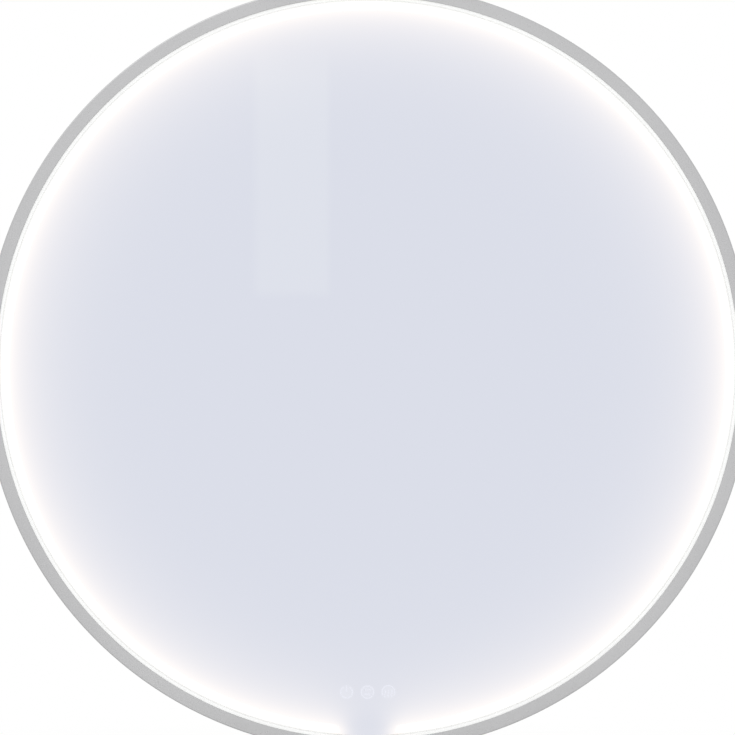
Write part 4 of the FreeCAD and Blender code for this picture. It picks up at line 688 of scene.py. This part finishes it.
def symbol(shape, name, x_mm):
    """Gives the flat marks their thickness, half of it in the glass, and sets them at one key."""
    thicken(shape, (0, 0, 2 * MARK_PROUD * MM))
    place = Matrix.Translation((x_mm * MM, (GLASS_FRONT + MARK_PROUD) * MM, centre_z - KEY_DROP * MM))
    bmesh.ops.transform(shape, matrix=place @ Matrix.Rotation(math.radians(90), 4, "X"), verts=shape.verts)
    finish_piece(shape, name, "mirror_glass", material=ETCHED)


def power_key():
    """A ring open at its top, with an upright line in the opening."""
    shape = bmesh.new()
    ring_mark(shape, radius=4.6, opening=32)
    line_mark(shape, foot=(0, 0.3), length=5.0)
    symbol(shape, "power_symbol", -KEY_PITCH)


def dimmer_key():
    """A ring round two sliders, each a level line that its knob divides."""
    knob_half = 1.2         # half of its height
    clear = 0.9             # from its middle to the line on each side
    line_end = 2.8
    shape = bmesh.new()
    ring_mark(shape, radius=4.8)
    for y, knob in ((1.7, -1.2), (-1.7, 1.2)):
        line_mark(shape, foot=(knob, y - knob_half), length=2 * knob_half)
        line_mark(shape, foot=(knob - clear, y), length=line_end - clear + knob, turn=90)
        line_mark(shape, foot=(line_end, y), length=line_end - clear - knob, turn=90)
    symbol(shape, "dimmer_symbol", 0.0)


def defog_key():
    """An arch over three rising waves."""
    shape = bmesh.new()
    ring_mark(shape, radius=5.0, opening=60, up=-1)
    for x in (-2.6, 0.0, 2.6):
        line_mark(shape, foot=(x, -4.0), length=6.0, wave=0.35)
    symbol(shape, "defog_symbol", KEY_PITCH)


# ---------------------------------------------------------------- fasteners and rubber at the back, in mm
SCREW_STEPS = 24
RIVET_STEPS = 32
RUBBER_STEPS = 48
SHANK = 2.0             # radius of the M4 screws' thread
SHANK_ROOT = 1.55
THREAD_PITCH = 0.7
THREAD_RISE = 0.3       # along the screw, from a root to the next crest
TIP_RADIUS = 1.1        # where the cone of the point ends
TIP_CONE = 0.6          # length of that cone
TIP = 1.2               # from the point to the first root
UNDER_HEAD = 0.2        # no root comes nearer to the head
PLAIN = 0.1             # plain shank under the head
HEAD_RADIUS = 3.8
SCREW_HEAD = ((3.72, 0), (HEAD_RADIUS, 0.12), (3.78, 0.75), (3.55, 1.35), (3.1, 1.8), (2.55, 2.1))
HEAD_TOP = 2.2
CROSS_REACH = 2.1       # the cross recess, from its middle to the end of an arm
CROSS_HALF = 0.45       # half the width of an arm
CROSS_DEPTH = 1.1
CROSS_DRAFT = 0.16      # its walls lean in by this much
SCREW_COUNT = 12        # on each circle of the panel
RIVET_HEAD = 4.6
RIVET_OUTLINE = (
    (0, -7.55), (1.0, -7.55), (1.15, -7.75), (1.4, -7.6), (1.6, -6.9), (1.95, -6.7), (2.8, -6.82),
    (3.7, -7.2), (4.35, -7.65), (RIVET_HEAD, -8.0), (2.4, -8.0), (2.4, -11.2), (3.2, -11.3),
    (3.6, -12.2), (3.5, -13.6), (2.9, -14.7), (1.6, -15.0), (0, -15.0),
)
BUMPER_RADIUS = 10
BUMPER_OUTLINE = (
    (0, -10), (9.7, -10), (BUMPER_RADIUS, -9.7), (BUMPER_RADIUS, -9.0), (9.6, -8.5), (9.1, -7.9),
    (8.9, -6.0), (8.8, -2.0), (8.6, -1.1), (8.1, -0.4), (7.3, -0.05), (6.6, 0), (4.3, 0), (3.9, -0.2),
    (3.6, -0.9), (3.2, -1.2), (0, -1.2),
)
GROMMET_OUTLINE = (
    (5.0, -7.5), (5.25, -7.0), (5.75, -6.8), (9.3, -6.8), (10.4, -7.15), (10.9, -7.8), (11, -8.5),
    (11, -8.8), (7.9, -8.8), (7.9, -10), (11, -10), (11, -10.4), (10.7, -11.3), (10, -12),
    (5.6, -12), (5.1, -11.7), (5.0, -11.2),
)


def pan_screw(reach):
    """Cross-recess pan head screw along Y: domed head towards the wall, thread towards the glass."""
    thread = []
    for i in range(int((reach - TIP - UNDER_HEAD) / THREAD_PITCH)):
        root = -reach + TIP + THREAD_PITCH * i
        thread += [(SHANK_ROOT, root), (SHANK, root + THREAD_RISE)]
    shape = bmesh.new()
    lathe(shape, (
        (0, -reach), (TIP_RADIUS, -reach + TIP_CONE), *thread, (SHANK, -PLAIN), (SHANK, 0), *SCREW_HEAD,
    ), SCREW_STEPS)
    bmesh.ops.remove_doubles(shape, verts=shape.verts, dist=MERGE * MM)
    # the cross closes the top of the head, and is then sunk into it
    a, b = CROSS_REACH * MM, CROSS_HALF * MM
    corners = ((a, -b), (a, b), (b, b), (b, a), (-b, a), (-b, b), (-a, b), (-a, -b), (-b, -b), (-b, -a),
               (b, -a), (b, -b))
    cross = shape.faces.new([shape.verts.new((x, HEAD_TOP * MM, z)) for x, z in corners])
    rim = [e for e in shape.edges if e.is_boundary and e.link_faces[0] is not cross]
    bmesh.ops.bridge_loops(shape, edges=rim + cross.edges[:])
    bmesh.ops.recalc_face_normals(shape, faces=shape.faces)
    bmesh.ops.inset_region(shape, faces=[cross], thickness=CROSS_DRAFT * MM, depth=-CROSS_DEPTH * MM,
                           use_even_offset=True)
    return shape


def round_spots(radius, first_deg):
    """The places of the panel's screws on a circle in mm round the mirror's centre, on its rear face."""
    angles = [math.radians(first_deg + 360 / SCREW_COUNT * i) for i in range(SCREW_COUNT)]
    return [(radius * MM * math.cos(a), panel_face, centre_z + radius * MM * math.sin(a)) for a in angles]


def panel_fasteners():
    """The screws that hold the panel to the frame's flange and the light hoop's foot to the panel."""
    flange_middle = FRAME_RADIUS - WALL - FLANGE_WIDTH / 2
    foot_middle = HOOP_RADIUS - (HOOP_FOOT + HOOP_SHEET) / 2
    finish_piece(copies(pan_screw(reach=5.8), round_spots(flange_middle, first_deg=15)),
                 "panel_screw_set", "steel_screw", "panel_screws")
    finish_piece(copies(pan_screw(reach=5.4), round_spots(foot_middle, first_deg=0)),
                 "hoop_screw_set", "steel_screw", "hoop_screws")


def cover_fasteners():
    """The junction cover's four screws."""
    low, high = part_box("cover_screws")
    inset = HEAD_RADIUS * MM
    spots = [(x, high.y - HEAD_TOP * MM, z) for x in (low.x + inset, high.x - inset)
             for z in (low.z + inset, high.z - inset)]
    finish_piece(copies(pan_screw(reach=7.2), spots), "cover_screw_set", "steel_screw", "cover_screws")


def hanger_fasteners():
    """Four blind rivets along the hanger rail, with the stub of the broken mandrel in each head."""
    low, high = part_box("hanger_rivets")
    reach = (high.x - low.x) / 2 - RIVET_HEAD * MM
    rivet = bmesh.new()
    lathe(rivet, RIVET_OUTLINE, RIVET_STEPS)
    spots = [(reach * share, 0, (low.z + high.z) / 2) for share in (-1, -1 / 3, 1 / 3, 1)]
    finish_piece(copies(rivet, spots), "blind_rivets", "rivet_aluminium", "hanger_rivets")


def wall_feet():
    """Two moulded rubber bumpers with a soft foot."""
    low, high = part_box("wall_bumpers")
    bumper = bmesh.new()
    lathe(bumper, BUMPER_OUTLINE, RUBBER_STEPS)
    edge = BUMPER_RADIUS * MM
    spots = [(x, 0, (low.z + high.z) / 2) for x in (low.x + edge, high.x - edge)]
    finish_piece(copies(bumper, spots), "bumper_pair", "bumper_rubber", "wall_bumpers")


def inlet_rubber():
    """The grommet of the cable inlet."""
    low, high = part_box("cable_grommet")
    grommet = bmesh.new()
    lathe(grommet, GROMMET_OUTLINE, RUBBER_STEPS, closed=True, z=(low.z + high.z) / 2)
    finish_piece(grommet, "inlet_grommet", "seal_rubber", "cable_grommet")


mirror_frame()
opal_line()
glass_disc()
power_key()
dimmer_key()
defog_key()
panel_fasteners()
cover_fasteners()
hanger_fasteners()
wall_feet()
inlet_rubber()

# ---------------------------------------------------------------- stage, in metres
FLOOR_RADIUS = 2.4
FLOOR_STEPS = 96
FLOOR_BELOW = 0.14      # the floor is this far under the mirror
FLOOR_FADE = (0.9, 1.9)  # it turns to the white background between these radii


def matt_floor():
    """Pale matt studio floor that fades to the white background far out."""
    made, tree, shader, point = start("pale_matt_floor", "#F1F1F0", 0.9)
    radius = add(tree, "VectorMath", point, operation="LENGTH").outputs["Value"]
    far = add(tree, "MapRange", radius, *FLOOR_FADE, interpolation_type="SMOOTHSTEP")
    faded = add(tree, "Math", far, seen_rays(tree)[1], operation="MULTIPLY")
    mixed = add(tree, "MixShader", faded, shader, add(tree, "Emission", colour("#FFFFFF"), 1.0))
    output = next(n for n in tree.nodes if n.type == "OUTPUT_MATERIAL")
    tree.links.new(mixed.outputs[0], output.inputs["Surface"])
    return made


def studio_floor():
    """A round floor under the mirror. It isn't part of it."""
    shape = bmesh.new()
    bmesh.ops.create_circle(shape, cap_ends=True, segments=FLOOR_STEPS, radius=FLOOR_RADIUS)
    mesh = bpy.data.meshes.new("studio_floor")
    shape.to_mesh(mesh)
    shape.free()
    mesh.materials.append(matt_floor())
    floor = bpy.data.objects.new("studio_floor", mesh)
    floor.location = (0, 0, frame_low.z - FLOOR_BELOW)
    bpy.context.scene.collection.objects.link(floor)


# ---------------------------------------------------------------- light
AMBIENT = 0.85
# Two large lamps high up, one before and one behind the mirror. The camera sees neither in the glass.
LAMP_ASIDE = 1.1
LAMP_AWAY = 1.6
LAMP_UP = 2.15
LAMP_SIDE = 3.0
LAMP_POWER = 19.0
# A tall, pale and slightly warm window in front of the mirror shows faintly in the glass. Each side is the
# axis of its direction, where it lies on that axis and how soft it is, below zero where the window ends.
WINDOW_SIDES = (
    (0, -0.0274, 0.0013),
    (0, -0.0095, -0.0008),
    (2, 0.0179, 0.0014),
    (2, 0.0745, -0.004),
)
WINDOW_AHEAD = (-0.9, -0.95)  # it is only there straight in front of the mirror
WINDOW_LIGHT = (0.036, 0.036, 0.02)


def white_studio():
    """White world: full white where it is seen or mirrored, weaker where it lights the mirror."""
    made = bpy.data.worlds.new("white_studio")
    made.use_nodes = True
    tree = made.node_tree
    tree.nodes.clear()
    path, seen = seen_rays(tree)
    level = add(tree, "MapRange", seen, 0.0, 1.0, AMBIENT, 1.0)
    parts = add(tree, "SeparateXYZ", add(tree, "TexCoord").outputs["Generated"])
    pane = add(tree, "MapRange", parts.outputs[1], *WINDOW_AHEAD)
    pane = add(tree, "Math", pane, path.outputs["Is Glossy Ray"], operation="MULTIPLY")
    for axis, place, soft in WINDOW_SIDES:
        side = add(tree, "MapRange", parts.outputs[axis], place - soft, place + soft)
        pane = add(tree, "Math", pane, side, operation="MULTIPLY")
    light = add(tree, "VectorMath", pane, WINDOW_LIGHT, level, operation="MULTIPLY_ADD")
    add(tree, "OutputWorld", add(tree, "Background", light, 1.0))
    bpy.context.scene.world = made


def softbox(name, place):
    """A square soft lamp at place, aimed at the mirror's centre."""
    lamp = bpy.data.lights.new(name, "AREA")
    lamp.shape = "SQUARE"
    lamp.size = LAMP_SIDE
    lamp.energy = LAMP_POWER
    made = bpy.data.objects.new(name, lamp)
    made.location = place
    aim = Vector((0, 0, centre_z)) - made.location
    made.rotation_euler = aim.to_track_quat("-Z", "Y").to_euler()
    bpy.context.scene.collection.objects.link(made)


# ---------------------------------------------------------------- camera, in metres
# The photograph is square to the mirror, shows 573.2 mm of its 600 mm, and has hardly any perspective.
SEEN_WIDTH = 0.5732
CENTRE_LOW = 0.0003     # the mirror's centre is this far under the picture's
LENS_MM = 200.0
SENSOR_MM = 36.0


def product_camera():
    """A long lens straight in front of the mirror."""
    lens = bpy.data.cameras.new("product_camera")
    lens.lens = LENS_MM
    lens.sensor_width = SENSOR_MM
    distance = SEEN_WIDTH * LENS_MM / SENSOR_MM
    camera = bpy.data.objects.new("product_camera", lens)
    camera.location = (0, frame_low.y - distance, centre_z + CENTRE_LOW)
    camera.rotation_euler = (math.radians(90), 0, 0)
    bpy.context.scene.collection.objects.link(camera)
    bpy.context.scene.camera = camera


studio_floor()
white_studio()
softbox("front_softbox", (-LAMP_ASIDE, -LAMP_AWAY, LAMP_UP))
softbox("rear_softbox", (LAMP_ASIDE, LAMP_AWAY, LAMP_UP))
product_camera()
bpy.context.scene.view_settings.view_transform = "Standard"
